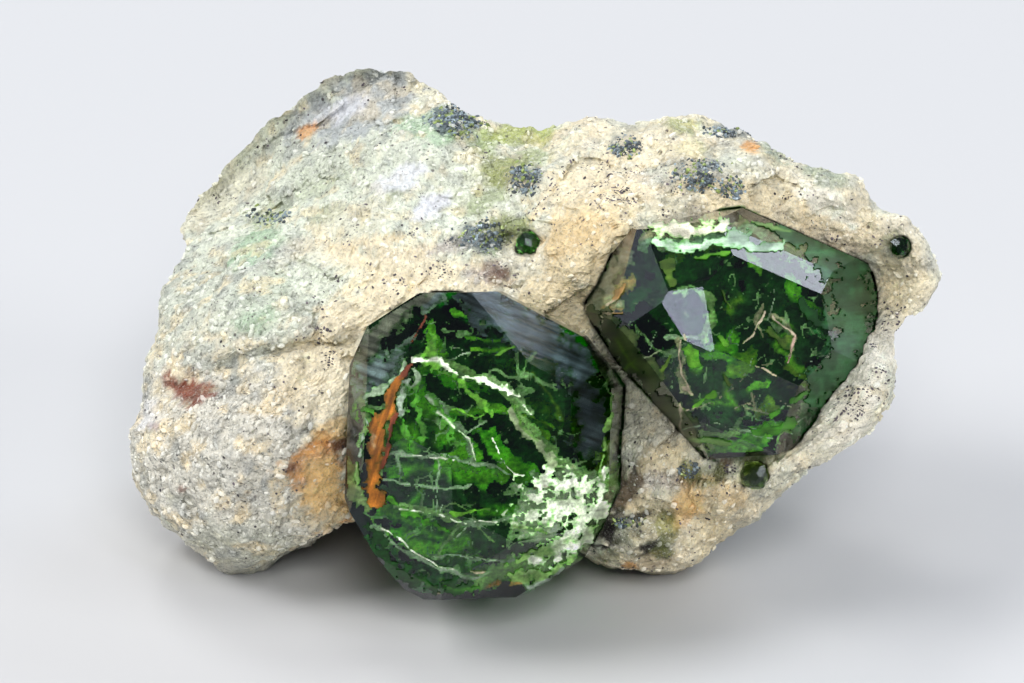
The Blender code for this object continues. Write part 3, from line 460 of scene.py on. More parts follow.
RIGHT_VEINS = [
    ("crackle", 4.5, [(6.0, 9.0), (12.0, 11.0)]),
    ("haze", 1.5, [(14.2, 14.3), (14.8, 12.6), (14.0, 11.2)]),
    ("haze", 0.7, [(11.0, 15.8), (12.5, 15.4), (14.0, 14.6)]),
    ("haze", 0.6, [(13.6, 11.0), (12.4, 8.6), (11.8, 7.2)]),
    ("smoke", 0.5, [(2.6, 12.2), (4.2, 14.6)]),
    ("smoke", 0.30, [(2.4, 11.8), (4.0, 8.6)]),
    ("moss_pale", 0.40, [(2.9, 11.6), (5.6, 8.0), (7.6, 6.6)]),
    ("cream_vein", 0.36, [(5.21, 15.58), (7.08, 15.89), (9.09, 16.11)]),
    ("mint", 0.36, [(5.30, 15.22), (7.62, 15.31), (9.71, 15.62), (11.18, 15.18)]),
    ("mint", 0.22, [(9.53, 15.49), (10.87, 15.58), (11.98, 15.13)]),
    ("cream_vein", 0.18, [(5.52, 15.04), (7.08, 15.31)]),
    ("cream_vein", 0.13, [(6.37, 11.17), (6.46, 10.50), (6.50, 9.79)]),
    ("cream_vein", 0.22, [(6.59, 9.43), (6.77, 8.81)]),
    ("cream_vein", 0.20, [(6.46, 8.14), (6.28, 7.92)]),
    ("cream_vein", 0.09, [(6.77, 7.92), (6.68, 7.47), (6.82, 6.98)]),
    ("cream_vein", 0.12, [(10.02, 12.42), (9.85, 12.02), (9.71, 11.57), (9.89, 11.12)]),
    ("cream_vein", 0.09, [(10.42, 12.02), (10.87, 11.88), (11.23, 11.48), (11.45, 11.12)]),
    ("pink_vein", 0.11, [(11.45, 11.12), (11.27, 10.68), (11.18, 10.23)]),
    ("cream_vein", 0.04, [(6.77, 8.01), (8.06, 8.45), (9.09, 9.39), (9.53, 10.32)]),
    ("cream_vein", 0.05, [(9.85, 9.92), (10.38, 9.88), (10.65, 9.65)]),
    ("cream_vein", 0.09, [(9.49, 8.72), (9.58, 8.18)]),
    ("cream_vein", 0.06, [(9.09, 8.14), (9.76, 8.05), (10.29, 7.83)]),
    ("cream_vein", 0.04, [(10.65, 8.45), (11.32, 8.14)]),
    ("orange_skin", 0.22, [(3.88, 13.00), (4.14, 13.26), (4.50, 13.71)]),
    ("cream_vein", 0.27, [(3.52, 12.73), (3.88, 12.55)]),
    ("orange_skin", 0.13, [(3.34, 12.42), (4.05, 12.28)]),
    ("frost", 0.05, [(10.38, 13.62), (10.56, 12.82), (10.29, 11.84)]),
    ("pale_green", 0.27, [(7.53, 13.04), (7.80, 12.02), (7.44, 11.26)]),
    ("frost", 0.13, [(5.93, 11.21), (7.08, 11.12)]),
    ("frost", 0.04, [(11.98, 10.05), (13.32, 10.32), (13.99, 10.81)]),
    ("frost", 0.04, [(12.87, 13.49), (13.99, 11.48)]),
    ("frost", 0.04, [(13.77, 14.15), (15.10, 11.93)]),
    ("pale_green", 0.16, [(4.90, 7.11), (6.19, 6.94), (7.53, 7.11), (9.09, 7.29)]),
    ("frost", 0.07, [(9.09, 7.29), (10.65, 7.20), (11.98, 7.65)]),
    ("moss_pale", 0.22, [(2.63, 11.26), (3.61, 9.61), (4.68, 7.69)]),
    ("pale_green", 0.09, [(2.18, 10.81), (3.34, 9.03), (4.86, 7.03)]),
    ("moss_pale", 0.36, [(10.65, 15.22), (11.98, 14.87)]),
    ("frost", 0.04, [(5.52, 11.48), (4.86, 10.14), (5.30, 8.36)]),
]
RIGHT_VEILS = [
    ("murk", 1.4, [(5.5, 9.5), (8.0, 8.5)]),
    ("murk", 1.2, [(9.0, 12.5), (12.0, 11.0)]),
    ("moss", 0.36, [(5.93, 14.51), (6.46, 14.06)]),
    ("moss", 0.27, [(7.53, 14.60), (9.09, 14.69)]),
    ("leaf", 0.22, [(9.09, 14.24), (9.53, 14.06)]),
    ("moss", 0.40, [(8.20, 12.37), (8.78, 12.82)]),
    ("emerald", 0.36, [(8.33, 11.26), (8.06, 10.59)]),
    ("leaf", 0.31, [(6.99, 10.50), (7.26, 10.05)]),
    ("moss", 0.45, [(3.96, 11.04), (4.86, 9.25)]),
    ("moss", 0.31, [(5.52, 9.92), (6.10, 9.25)]),
    ("leaf", 0.27, [(10.29, 11.70), (10.87, 11.39), (10.42, 10.81)]),
    ("emerald", 0.36, [(7.08, 8.72), (8.24, 8.45)]),
    ("leaf", 0.22, [(8.24, 9.03), (8.51, 8.14)]),
    ("emerald", 0.40, [(11.09, 13.26), (11.98, 11.93)]),
    ("moss", 0.27, [(11.09, 9.92), (11.98, 8.58)]),
    ("emerald", 0.27, [(9.36, 9.03), (10.20, 9.25)]),
    ("emerald", 0.36, [(5.30, 7.03), (7.53, 6.80), (9.53, 7.03), (11.54, 7.38)]),
    ("moss", 0.36, [(5.75, 7.69), (5.97, 7.47)]),
    ("emerald", 0.53, [(14.43, 13.71), (15.10, 13.04)]),
    ("deep_green", 0.62, [(13.77, 11.93), (14.66, 11.48)]),
    ("moss", 0.40, [(9.09, 10.14), (8.42, 9.61)]),
    ("leaf", 0.18, [(3.52, 11.70), (4.19, 11.39)]),
    ("deep_green", 0.53, [(4.86, 12.82), (3.96, 11.93)]),
    ("moss", 0.22, [(9.53, 7.92), (10.42, 8.36)]),
    ("leaf", 0.18, [(10.65, 10.59), (11.54, 9.61)]),
]

# Stains and mineral patches of the front, and patches of painted shade and light, from below upwards, so
# that a later one covers an
# earlier one: (u, v, half width, half height, turn in degrees, colour, strength)
PATCHES = [
    (-10.5, 16.0, 8.5, 6.5, 25, "white_green", 1.0),
    (-3.5, 18.0, 6.0, 3.2, 0, "white_green", 0.9),
    (-7.5, 11.2, 3.5, 1.2, 12, "pale_buff", 0.7),
    (-9.2, 18.6, 2.4, 1.0, 30, "moss_rock", 0.35),
    (-10.2, 20.7, 0.5, 0.35, 20, "orange", 0.8),
    (-12.7, 17.9, 0.7, 0.3, 45, "brown_gold", 0.6),
    (-9.2, 16.6, 1.2, 0.35, 25, "olive", 0.45),
    (-7.0, 15.4, 2.0, 0.3, 10, "orange_cream", 0.45),
    (-12.6, 14.6, 1.0, 0.5, 30, "lilac_white", 0.5),
    (-9.9, 12.4, 0.9, 0.5, 10, "dark_crust", 0.35),
    (-15.9, 12.9, 0.7, 1.6, 15, "dark_crust", 0.25),
    (-15.2, 16.6, 0.4, 0.8, 20, "brown_gold", 0.6),
    (-11.2, 7.4, 1.0, 0.7, 30, "cream", 0.5),
    (-13.4, 3.2, 1.6, 0.6, -15, "cream", 0.5),
    (-9.6, 2.6, 1.2, 0.6, 15, "cream", 0.4),
    (-11.6, 2.9, 0.9, 0.3, -20, "red_brown", 0.25),
    (-11.9, 16.6, 1.6, 0.6, 40, "moss_rock", 0.55),
    (-10.9, 14.9, 1.5, 0.5, 35, "violet_specks", 0.5),
    (-2.6, 20.2, 1.6, 0.6, -30, "moss_rock", 0.8),
    (-0.6, 18.9, 1.7, 0.6, 25, "moss_rock", 0.6),
    (-2.0, 17.3, 1.2, 0.5, 30, "moss_rock", 0.6),
    (-5.9, 17.9, 0.8, 0.4, 40, "olive", 0.6),
    (-1.2, 15.8, 1.6, 0.8, 10, "moss_rock", 0.8),
    (-4.6, 15.0, 2.6, 0.35, 12, "violet_specks", 0.7),
    (-5.4, 13.4, 1.3, 0.5, 30, "violet_specks", 0.8),
    (-2.0, 13.8, 1.5, 0.5, -10, "violet_specks", 0.8),
    (-1.4, 13.9, 0.7, 0.3, 30, "brown", 0.9),
    (3.6, 17.6, 2.4, 1.0, 10, "violet_specks", 0.45),
    (13.0, 16.0, 2.0, 0.5, -25, "violet_specks", 0.5),
    (-9.3, 6.2, 1.4, 2.4, -10, "cream", 0.6),
    (-12.0, 13.2, 1.4, 0.8, 25, "mint", 0.5),
    (-13.2, 5.9, 6.2, 5.6, 0, "grey_stone", 0.85),
    (-13.6, 12.8, 4.2, 3.3, 20, "green_grey", 0.7),
    (-9.8, 20.6, 5.8, 2.7, 30, "green_grey", 0.75),
    (-9.5, 22.0, 3.6, 0.8, 32, "white_green", 0.8),
    (-13.6, 18.6, 3.0, 0.7, 45, "white_green", 0.7),
    (-6.5, 22.3, 2.2, 0.7, 10, "yellow_cream", 0.6),
    (-14.1, 17.7, 2.7, 1.0, 40, "pale_buff", 0.6),
    (-12.3, 15.3, 1.6, 0.8, 30, "mint", 0.6),
    (-12.3, 11.8, 1.3, 0.6, 20, "mint", 0.5),
    (-4.5, 20.7, 1.6, 0.7, 0, "mint", 0.6),
    (-5.8, 18.2, 1.2, 0.5, 20, "lilac_white", 0.8),
    (-4.5, 17.0, 1.0, 0.5, 30, "lilac_white", 0.9),
    (-8.5, 15.9, 2.7, 1.3, 30, "pale_buff", 0.5),
    (-1.4, 18.8, 1.8, 0.7, 15, "olive", 0.55),
    (-0.3, 20.4, 1.6, 0.5, 0, "yellow_green", 0.6),
    (-3.4, 20.9, 1.1, 0.6, -10, "dark_crust", 0.9),
    (-0.2, 18.2, 0.8, 0.7, 0, "dark_crust", 0.9),
    (-2.2, 15.6, 1.2, 0.6, 0, "dark_crust", 0.8),
    (4.2, 19.7, 0.7, 0.5, 0, "dark_crust", 0.9),
    (7.5, 18.4, 1.1, 0.8, -20, "dark_crust", 0.8),
    (8.8, 17.8, 0.6, 0.5, 0, "dark_crust", 0.9),
    (8.9, 20.4, 1.1, 0.3, -10, "dark_crust", 0.7),
    (6.9, 20.6, 1.0, 0.4, 0, "yellow_green", 0.7),
    (7.1, 19.6, 0.7, 0.4, 0, "yellow_green", 0.7),
    (5.7, 19.5, 1.8, 0.8, 0, "cream", 0.7),
    (11.3, 19.6, 0.8, 0.7, 0, "grey_green", 0.8),
    (13.1, 18.2, 1.3, 0.7, -25, "grey_green", 0.6),
    (9.8, 19.7, 0.4, 0.3, 0, "orange", 0.8),
    (2.6, 17.3, 2.9, 1.6, 0, "cream", 0.85),
    (2.6, 15.0, 2.7, 2.5, -10, "tan", 0.9),
    (1.3, 12.8, 2.0, 1.2, -20, "tan", 0.8),
    (2.0, 15.7, 1.8, 1.1, 10, "tan_deep", 0.5),
    (-1.8, 14.2, 0.6, 0.4, 20, "brown", 0.7),
    (-5.4, 13.9, 4.0, 1.3, -15, "cream", 0.85),
    (-7.2, 12.4, 2.7, 1.4, 20, "cream", 0.9),
    (-9.4, 9.3, 1.7, 2.5, 10, "cream", 0.8),
    (-9.0, 3.9, 1.7, 1.3, 0, "cream", 0.7),
    (-9.5, 5.6, 1.5, 1.1, 25, "rust", 0.85),
    (-9.0, 4.0, 1.1, 1.5, -15, "orange_cream", 0.9),
    (-9.3, 5.0, 0.9, 0.5, 15, "orange", 0.7),
    (-8.4, 6.4, 0.45, 0.3, 10, "rust_deep", 0.85),
    (-10.6, 5.4, 0.4, 0.2, 20, "rust_deep", 0.8),
    (-9.3, 5.5, 0.3, 0.25, 0, "rust_deep", 0.8),
    (-9.0, 3.2, 0.6, 0.4, 10, "cream", 0.5),
    (-8.7, 7.1, 1.2, 0.4, 15, "orange_cream", 0.7),
    (-8.2, 2.9, 0.3, 0.3, 0, "orange", 0.6),
    (-15.2, 8.9, 1.2, 0.7, -10, "red_brown", 0.95),
    (-16.1, 9.3, 0.4, 0.5, 0, "red_brown", 0.8),
    (-16.8, 7.2, 0.3, 0.2, 0, "red_brown", 0.8),
    (-15.5, 4.4, 0.3, 0.2, 0, "red_brown", 0.6),
    (-17.0, 7.5, 0.5, 0.9, 0, "lilac_white", 0.5),
    (10.6, 16.8, 4.0, 1.2, -10, "tan", 0.6),
    (13.8, 17.0, 2.2, 1.2, -30, "cream", 0.8),
    (13.4, 17.2, 1.8, 0.7, -30, "cream_white", 0.8),
    (14.2, 15.9, 2.5, 0.9, -20, "tan_pink", 0.7),
    (16.7, 13.9, 1.1, 1.6, 10, "cream", 0.8),
    (16.0, 12.8, 0.9, 0.9, 0, "tan", 0.5),
    (15.0, 10.2, 1.3, 2.3, -40, "cream_white", 0.95),
    (13.3, 7.5, 1.3, 2.0, -50, "cream_white", 0.8),
    (10.2, 5.2, 2.0, 1.2, -40, "pale_buff", 0.8),
    (7.5, 3.0, 2.2, 1.6, -50, "tan", 0.6),
    (6.9, 3.9, 0.8, 0.9, 0, "orange_cream", 0.7),
    (5.9, 4.9, 1.0, 0.6, -20, "violet_specks", 0.6),
    (4.8, 3.8, 0.8, 0.6, 0, "cream", 0.95),
    # Painted shade: black in the crevices and undercuts of the toe
    (3.9, 2.5, 1.3, 0.6, 25, "crevice_shade_black", 0.95),
    (4.25, 4.5, 1.8, 0.42, 62, "crevice_shade_black", 0.9),
    (5.2, 1.8, 0.9, 0.42, 10, "crevice_shade_black", 0.9),
    (6.0, 2.9, 0.65, 0.5, 0, "olive_dark", 0.9),
    (4.7, 2.5, 1.2, 0.6, 0, "grey_stone", 0.8),
    (5.3, 1.9, 0.5, 0.3, 0, "crevice_shade_black", 0.7),
    (6.9, 5.3, 0.4, 0.4, 0, "olive_dark", 0.8),
    (7.8, 5.2, 0.7, 0.5, 0, "olive_dark", 0.6),
    (3.5, 1.5, 0.6, 0.4, 0, "olive_dark", 0.6),
    (6.9, 3.2, 0.4, 0.7, 0, "orange", 0.3),
    (4.4, 1.0, 0.4, 0.3, 0, "orange", 0.8),
    (4.0, 4.6, 0.9, 1.5, 20, "brown_gold", 0.25),
    (9.8, 5.9, 0.9, 0.5, 0, "olive_dark", 0.7),
    (8.6, 5.6, 0.3, 0.2, 0, "red_brown", 0.7),
    (8.2, 4.4, 1.8, 0.6, -20, "tan_deep", 0.6),
    (5.7, 5.7, 1.2, 0.6, 0, "tan", 0.6),
    (-8.0, 21.6, 3.2, 1.3, 25, "lilac_grey", 0.85),
    (-8.6, 21.6, 1.4, 0.5, 25, "lilac_white", 0.7),
    (-10.2, 20.5, 0.5, 0.35, 20, "orange", 0.7),
    # Painted light: orange cream that lightens the lower part of the rust patch, which faces down
    (-9.3, 4.9, 0.8, 1.1, 10, "orange_cream", 0.75),
    (-9.9, 6.1, 0.8, 0.3, 25, "orange", 0.6),
    (13.3, 17.0, 1.5, 0.5, -30, "cream_white", 0.9),
    (4.9, 2.7, 1.3, 0.8, 20, "olive_dark", 0.4),
    # Painted shade: black in a crevice of the toe
    (3.6, 3.0, 0.8, 0.5, 40, "crevice_shade_black", 0.8),
    (6.1, 2.7, 0.5, 0.9, 0, "olive_dark", 0.7),
    (5.4, 1.2, 1.0, 0.4, 10, "brown_gold", 0.45),
    (-1.6, 18.6, 1.1, 0.8, 30, "olive", 0.6),
    (-0.4, 20.3, 1.5, 0.5, 5, "yellow_green", 0.8),
    (-1.2, 16.2, 1.0, 0.6, 10, "olive", 0.55),
    # Painted shade: faint darker washes over the undersides of the lobe and of the toe
    (-12.8, 2.0, 2.8, 1.2, -10, "grey_green", 0.28),
    (5.0, 2.4, 1.7, 1.3, 0, "olive_dark", 0.28),
    (10.9, 19.8, 0.7, 0.5, -20, "grey_green", 0.75),
    (13.2, 18.4, 1.2, 0.5, -30, "grey_green", 0.75),
    (16.2, 15.6, 0.5, 0.5, -30, "olive", 0.5),
    # Painted shade: black in the crevice between the left crystal and the toe, and under the toe
    (3.4, 2.4, 0.3, 0.8, -10, "crevice_shade_black", 0.95),
    (4.5, 3.15, 1.2, 0.2, 15, "crevice_shade_black", 0.9),
    (5.1, 1.8, 0.8, 0.25, 10, "crevice_shade_black", 0.95),
    (5.8, 1.6, 0.5, 0.35, 0, "olive_dark", 0.8),
    (5.8, 2.8, 0.55, 0.4, 0, "olive", 0.8),
    (7.0, 5.3, 0.45, 0.6, 30, "olive_dark", 0.8),
    (8.35, 5.2, 0.35, 0.4, 0, "olive_dark", 0.75),
    (7.7, 4.7, 0.6, 0.2, 0, "olive_dark", 0.7),
    (6.9, 3.6, 0.5, 1.0, -25, "orange_cream", 0.5),
]


def turn_frame(points):
    """Turn (u, v, w) into (x, y, z). The same turn takes (x, y, z) back to (u, v, w)."""
    u, v, w = np.asarray(points, float).T
    sine = math.sin(FRONT_TILT)
    cosine = math.cos(FRONT_TILT)
    return np.stack([u, v * sine + w * cosine, v * cosine - w * sine], axis=1)


def thin_plate(knots, at):
    """Smooth height through all knots (u, v, height), read at the points (u, v)."""
    knots = np.asarray(knots, float)
    place = knots[:, :2]

    def kernel(a, b):
        square = ((a[:, None, :] - b[None, :, :]) ** 2).sum(axis=2)
        return 0.5 * square * np.log(square + 1e-9)

    count = len(knots)
    plane = np.hstack([np.ones((count, 1)), place])
    system = np.zeros((count + 3, count + 3))
    system[:count, :count] = kernel(place, place)
    system[:count, count:] = plane
    system[count:, :count] = plane.T
    weights = np.linalg.solve(system, np.append(knots[:, 2], [0.0, 0.0, 0.0]))
    return kernel(at, place) @ weights[:count] + weights[count] + at @ weights[count + 1:]


def outline_at(share):
    """Smooth closed curve through OUTLINE, read at shares 0 to 1 of its way round."""
    knots = np.asarray(OUTLINE, float)
    steps = np.linalg.norm(np.roll(knots, -1, axis=0)[:, :2] - knots[:, :2], axis=1)
    along = np.concatenate([[0.0], np.cumsum(steps)])
    position = (share % 1.0) * along[-1]
    first = np.clip(np.searchsorted(along, position, side="right") - 1, 0, len(knots) - 1)
    part = ((position - along[first]) / steps[first])[:, None]
    p0, p1, p2, p3 = (knots[(first + shift) % len(knots)] for shift in (-1, 0, 1, 2))
    return 0.5 * (2 * p1 + (p2 - p0) * part + (2 * p0 - 5 * p1 + 4 * p2 - p3) * part ** 2
                  + (3 * p1 - p0 - 3 * p2 + p3) * part ** 3)


def square_to_disc(a, b):
    """Radius 0 to 1 and turn 0 to 1 on a disc for each point of the square from -1 to 1."""
    wide = np.abs(a) > np.abs(b)
    reach = np.where(wide, a, b)
    safe = np.where(reach == 0.0, 1.0, reach)
    angle = np.where(wide, 0.25 * math.pi * b / safe, 0.5 * math.pi - 0.25 * math.pi * a / safe)
    angle = np.where(reach < 0.0, angle + math.pi, angle)
    return np.abs(reach), angle / (2.0 * math.pi)


def lattice_value(ix, iy, iz, seed):
    """Repeatable number from 0 to 1 for each whole lattice point."""
    mixed = (ix * 73856093) ^ (iy * 19349663) ^ (iz * 83492791) ^ (seed * 2654435761)
    mixed = (mixed ^ (mixed >> 13)) * 1274126177
    mixed = mixed ^ (mixed >> 16)
    return (mixed & 0xFFFFFF) / float(0xFFFFFF)


def value_noise(points, cell, seed):
    """Smooth noise from -1 to 1, with one random value for each cube of the given size."""
    scaled = points / cell
    base = np.floor(scaled).astype(np.int64)
    part = scaled - base
    part = part * part * (3.0 - 2.0 * part)
    total = np.zeros(len(points))
    for corner in range(8):
        offset = np.array([corner & 1, (corner >> 1) & 1, (corner >> 2) & 1])
        weight = np.where(offset, part, 1.0 - part).prod(axis=1)
        ix, iy, iz = (base + offset).T
        total += weight * lattice_value(ix, iy, iz, seed)
    return 2.0 * total - 1.0


def seeds_around(scaled, seed):
    """The 27 cells of size one round each point, one after another, for all points at once.

    Gives each cell's low corner and where in the cell its random seed lies.
    """
    base = np.floor(scaled).astype(np.int64)
    for count in range(27):
        cell = base + [count % 3 - 1, count // 3 % 3 - 1, count // 9 - 1]
        yield cell, np.stack([lattice_value(*cell.T, seed + k) for k in range(3)], axis=1)


def chip_noise(points, cell_size, seed):
    """Flat tilted chips: each point takes the tilted plane of its nearest random seed."""
    scaled = points / cell_size
    nearest = np.full(len(points), FAR)
    height = np.zeros(len(points))
    for cell, place in seeds_around(scaled, seed):
        tilt = np.stack([lattice_value(*cell.T, seed + 3 + k) for k in range(3)], axis=1) - 0.5
        away = scaled - (cell + place)
        distance = (away ** 2).sum(axis=1)
        closer = distance < nearest
        nearest = np.where(closer, distance, nearest)
        height = np.where(closer, (away * tilt).sum(axis=1), height)
    return height


def dome_noise(points, cell_size, seed):
    """Round grains: one minus twice the squared distance to the nearest random seed."""
    scaled = points / cell_size
    nearest = np.full(len(points), FAR)
    for cell, place in seeds_around(scaled, seed):
        nearest = np.minimum(nearest, ((scaled - cell - place) ** 2).sum(axis=1))
    return 1.0 - 2.0 * np.minimum(nearest, 0.7)


def cell_edges(points, cell_size, seed):
    """How much nearer the nearest random seed is than the next one, in cells: 0 on an edge."""
    scaled = points / cell_size
    first, second = np.full(len(points), FAR), np.full(len(points), FAR)
    for cell, place in seeds_around(scaled, seed):
        away = np.sqrt(((scaled - cell - place) ** 2).sum(axis=1))
        second = np.minimum(second, np.maximum(away, first))
        first = np.minimum(first, away)
    return second - first


def distance_to_path(at, path):
    """Shortest distance from each point (u, v) to a path of straight runs."""
    path = np.asarray(path, float)
    best = np.full(len(at), 1e9)
    for start, end in zip(path[:-1], path[1:]):
        run = end - start
        part = np.clip(((at - start) @ run) / (run @ run), 0.0, 1.0)
        best = np.minimum(best, np.linalg.norm(at - start - part[:, None] * run, axis=1))
    return best


def turned_off(at, u, v, half_width, half_height, turn):
    """Place along and across a turned ellipse round (u, v), in its half width and height."""
    angle = math.radians(turn)
    du, dv = at[:, 0] - u, at[:, 1] - v
    along = (du * math.cos(angle) + dv * math.sin(angle)) / half_width
    across = (dv * math.cos(angle) - du * math.sin(angle)) / half_height
    return along, across


def features_at(at, features):
    """Height of the lumps and hollows at the points (u, v)."""
    height = np.zeros(len(at))
    for u, v, half_width, half_height, turn, rise in features:
        along, across = turned_off(at, u, v, half_width, half_height, turn)
        height += rise * np.exp(-(along ** 2 + across ** 2) ** 1.5)
    return height


def chips_at(at, depth):
    """Height of the broken chips at points of the front frame."""
    points = np.column_stack([at, depth])
    return sum(rise * chip_noise(points, cell, seed) for cell, rise, seed in CHIPS)


def rock_halves(a, b):
    """Front-frame points of the front and the back half of the rock over the grid a, b.

    The square is wrapped on a disc, the disc is stretched to the outline, and the depth
    runs from the outline's own depth to the relief as the edge rounds over.
    """
    radius, share = square_to_disc(a, b)
    reach = radius + EDGE_CROWDING * (np.sin(0.5 * math.pi * radius) - radius)
    edge = outline_at(share + 0.5)
    centre = np.asarray(OUTLINE_CENTRE)
    at = centre + reach[:, None] * (edge[:, :2] - centre)
    rim = edge[:, 2]
    crack = distance_to_path(at, CRACK_PATH) / CRACK_HALF_WIDTH
    front = thin_plate(FRONT_RELIEF, at) + CRACK_DEPTH * np.exp(-crack ** 2)
    front -= features_at(at, FRONT_FEATURES) + chips_at(at, front)
    back = thin_plate(turn_frame(np.asarray(BACK_POINTS) - [0.0, 0.0, FRONT_RISE]), at)
    back += features_at(at, BACK_FEATURES) + chips_at(at, back)
    front = rim + (front - rim) * np.sqrt(1.0 - reach ** FRONT_ROUNDING)
    back = rim + (back - rim) * np.sqrt(1.0 - reach ** BACK_ROUNDING)
    back = np.maximum(back, front + LEAST_THICKNESS * np.sqrt(1.0 - reach ** 2))
    return np.column_stack([at, front]), np.column_stack([at, back])


def swell(points):
    """Push the surface out and in along lines from the core of the stone."""
    core = np.empty_like(points)
    core[:, 0] = np.clip(points[:, 0], -CORE_HALF_LENGTH, CORE_HALF_LENGTH)
    core[:, 1:] = CORE_PLACE
    outward = points - core
    outward /= np.linalg.norm(outward, axis=1)[:, None]
    height = sum(rise * value_noise(points, cell, seed) for cell, rise, seed in SWELLS)
    return points + outward * height[:, None]


def settle_underside(points):
    """Raise what is below the underside height, except over the contact patches."""
    x, y, z = points.T
    cell, rise, seed = UNDERSIDE_SWELL
    floor = UNDERSIDE_HEIGHT + rise * value_noise(points * [1.0, 1.0, 0.0], cell, seed)
    for px, py, half_length, half_width, drop in CONTACT_PATCHES:
        ring = ((x - px) / half_length) ** 2 + ((y - py) / half_width) ** 2
        floor -= drop * np.exp(-ring ** 2)
    over = np.clip((z - floor) / UNDERSIDE_SOFTNESS, -40.0, 40.0)
    raised = floor + UNDERSIDE_SOFTNESS * np.log1p(np.exp(over))
    return np.column_stack([x, y, raised])


def to_row(points):
    """Millimetre points of the front frame as metre points of the row frame."""
    return (turn_frame(points) + [0.0, 0.0, FRONT_RISE] - ORIGIN) * MM


def to_front(points):
    """Metre points of the row frame as millimetre points of the front frame."""
    return turn_frame(np.asarray(points) / MM + ORIGIN - [0.0, 0.0, FRONT_RISE])


def smooth_step(low, high, value):
    """0 up to low and 1 from high on, with a soft rise between them."""
    part = np.clip((value - low) / (high - low), 0.0, 1.0)
    return part * part * (3.0 - 2.0 * part)


def new_mesh(name, points, faces):
    """A mesh of whole arrays of points and faces."""
    mesh = bpy.data.meshes.new(name)
    mesh.from_pydata(np.asarray(points).tolist(), [], np.asarray(faces).tolist())
    mesh.update()
    return mesh


def new_piece(name, mesh, material):
    """A piece with its place in its mesh, that rides on the stone."""
    piece = bpy.data.objects.new(name, mesh)
    bpy.context.scene.collection.objects.link(piece)
    mesh.materials.clear()
    mesh.materials.append(material)
    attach(piece, "root")
    return piece


def vertex_normals(points, faces):
    """Outward normals of a mesh of four-cornered faces, as the mean over the faces around."""
    a, b, c, d = (points[faces[:, corner]] for corner in range(4))
    cross = np.cross(c - a, d - b)
    normals = np.zeros_like(points)
    for corner in range(4):
        np.add.at(normals, faces[:, corner], cross)
    return normals / np.maximum(np.linalg.norm(normals, axis=1), 1e-12)[:, None]


def closed_grid(cells):
    """The faces of two square grids that share their rim, and which back points are kept.

    The points of the front grid come first, then those of the back grid off its rim.
    """
    count = cells + 1
    index = np.arange(count * count).reshape(count, count)
    rim = np.zeros((count, count), bool)
    rim[[0, -1], :] = True
    rim[:, [0, -1]] = True
    inner = ~rim.ravel()
    back = np.where(rim, index, count * count + np.cumsum(inner).reshape(count, count) - 1)
    front_faces = np.stack([index[:-1, :-1], index[1:, :-1], index[1:, 1:], index[:-1, 1:]], axis=-1)
    back_faces = np.stack([back[:-1, :-1], back[:-1, 1:], back[1:, 1:], back[1:, :-1]], axis=-1)
    return np.vstack([front_faces.reshape(-1, 4), back_faces.reshape(-1, 4)]), inner


def fine_rock(cells):
    """The rock's two halves on a fine grid, with grains laid on along the normals.

    The halves and their swells are those of the solids. The finer swells, round grains and
    chips move each point along its normal, and the underside is settled after that.
    """
    line = np.linspace(-1.0, 1.0, cells + 1)
    a, b = (grid.ravel() for grid in np.meshgrid(line, line, indexing="ij"))
    front, back = rock_halves(a, b)
    faces, inner = closed_grid(cells)
    points = swell(turn_frame(np.vstack([front, back[inner]])) + [0.0, 0.0, FRONT_RISE])
    normals = vertex_normals(points, faces)
    height = sum(rise * value_noise(points, cell, seed) for cell, rise, seed in FINE_SWELLS)
    height += sum(rise * dome_noise(points, cell, seed) for cell, rise, seed in GRAINS)
    height += sum(rise * chip_noise(points, cell, seed) for cell, rise, seed in FINE_CHIPS)
    points = settle_underside(points + normals * height[:, None])
    points[:, 2] = np.maximum(points[:, 2], 0.0)
    return (points - ORIGIN) * MM, faces


def planes_of(node_name):
    """Normals and distances of the flat faces of a packed crystal, each once."""
    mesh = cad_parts[node_name].data
    mesh.calc_loop_triangles()
    corners = vertex_values(mesh, "co")
    triangles = np.zeros(len(mesh.loop_triangles) * 3, int)
    mesh.loop_triangles.foreach_get("vertices", triangles)
    first, second, third = corners[triangles.reshape(-1, 3)].transpose(1, 0, 2)
    cross = np.cross(second - first, third - first)
    size = np.linalg.norm(cross, axis=1)
    normals = (cross / size[:, None])[size > 1e-10]
    distances = (normals * first[size > 1e-10]).sum(axis=1)
    # A face is many triangles, so that each plane comes again: one of each is kept
    table = np.column_stack([normals, distances / MM])
    kept = np.unique(np.round(table, 2), axis=0, return_index=True)[1]
    return table[kept, :3], table[kept, 3] * MM


def grown_block(name, planes, grow):
    """A block cleft along every plane of a crystal, each plane moved out by grow."""
    normals, distances = planes
    body = bmesh.new()
    bmesh.ops.create_cube(body, size=BLANK_SIZE)
    for normal, distance in zip(normals, distances):
        geometry = body.verts[:] + body.edges[:] + body.faces[:]
        cut = bmesh.ops.bisect_plane(
            body, geom=geometry, dist=1e-9, plane_co=Vector(normal * (distance + grow)),
            plane_no=Vector(normal), clear_outer=True)
        rim = [item for item in cut["geom_cut"] if isinstance(item, bmesh.types.BMEdge)]
        if rim:
            bmesh.ops.contextual_create(body, geom=rim)
    bmesh.ops.remove_doubles(body, verts=body.verts, dist=2e-6)
    bmesh.ops.recalc_face_normals(body, faces=body.faces)
    mesh = bpy.data.meshes.new(name)
    body.to_mesh(mesh)
    body.free()
    return mesh


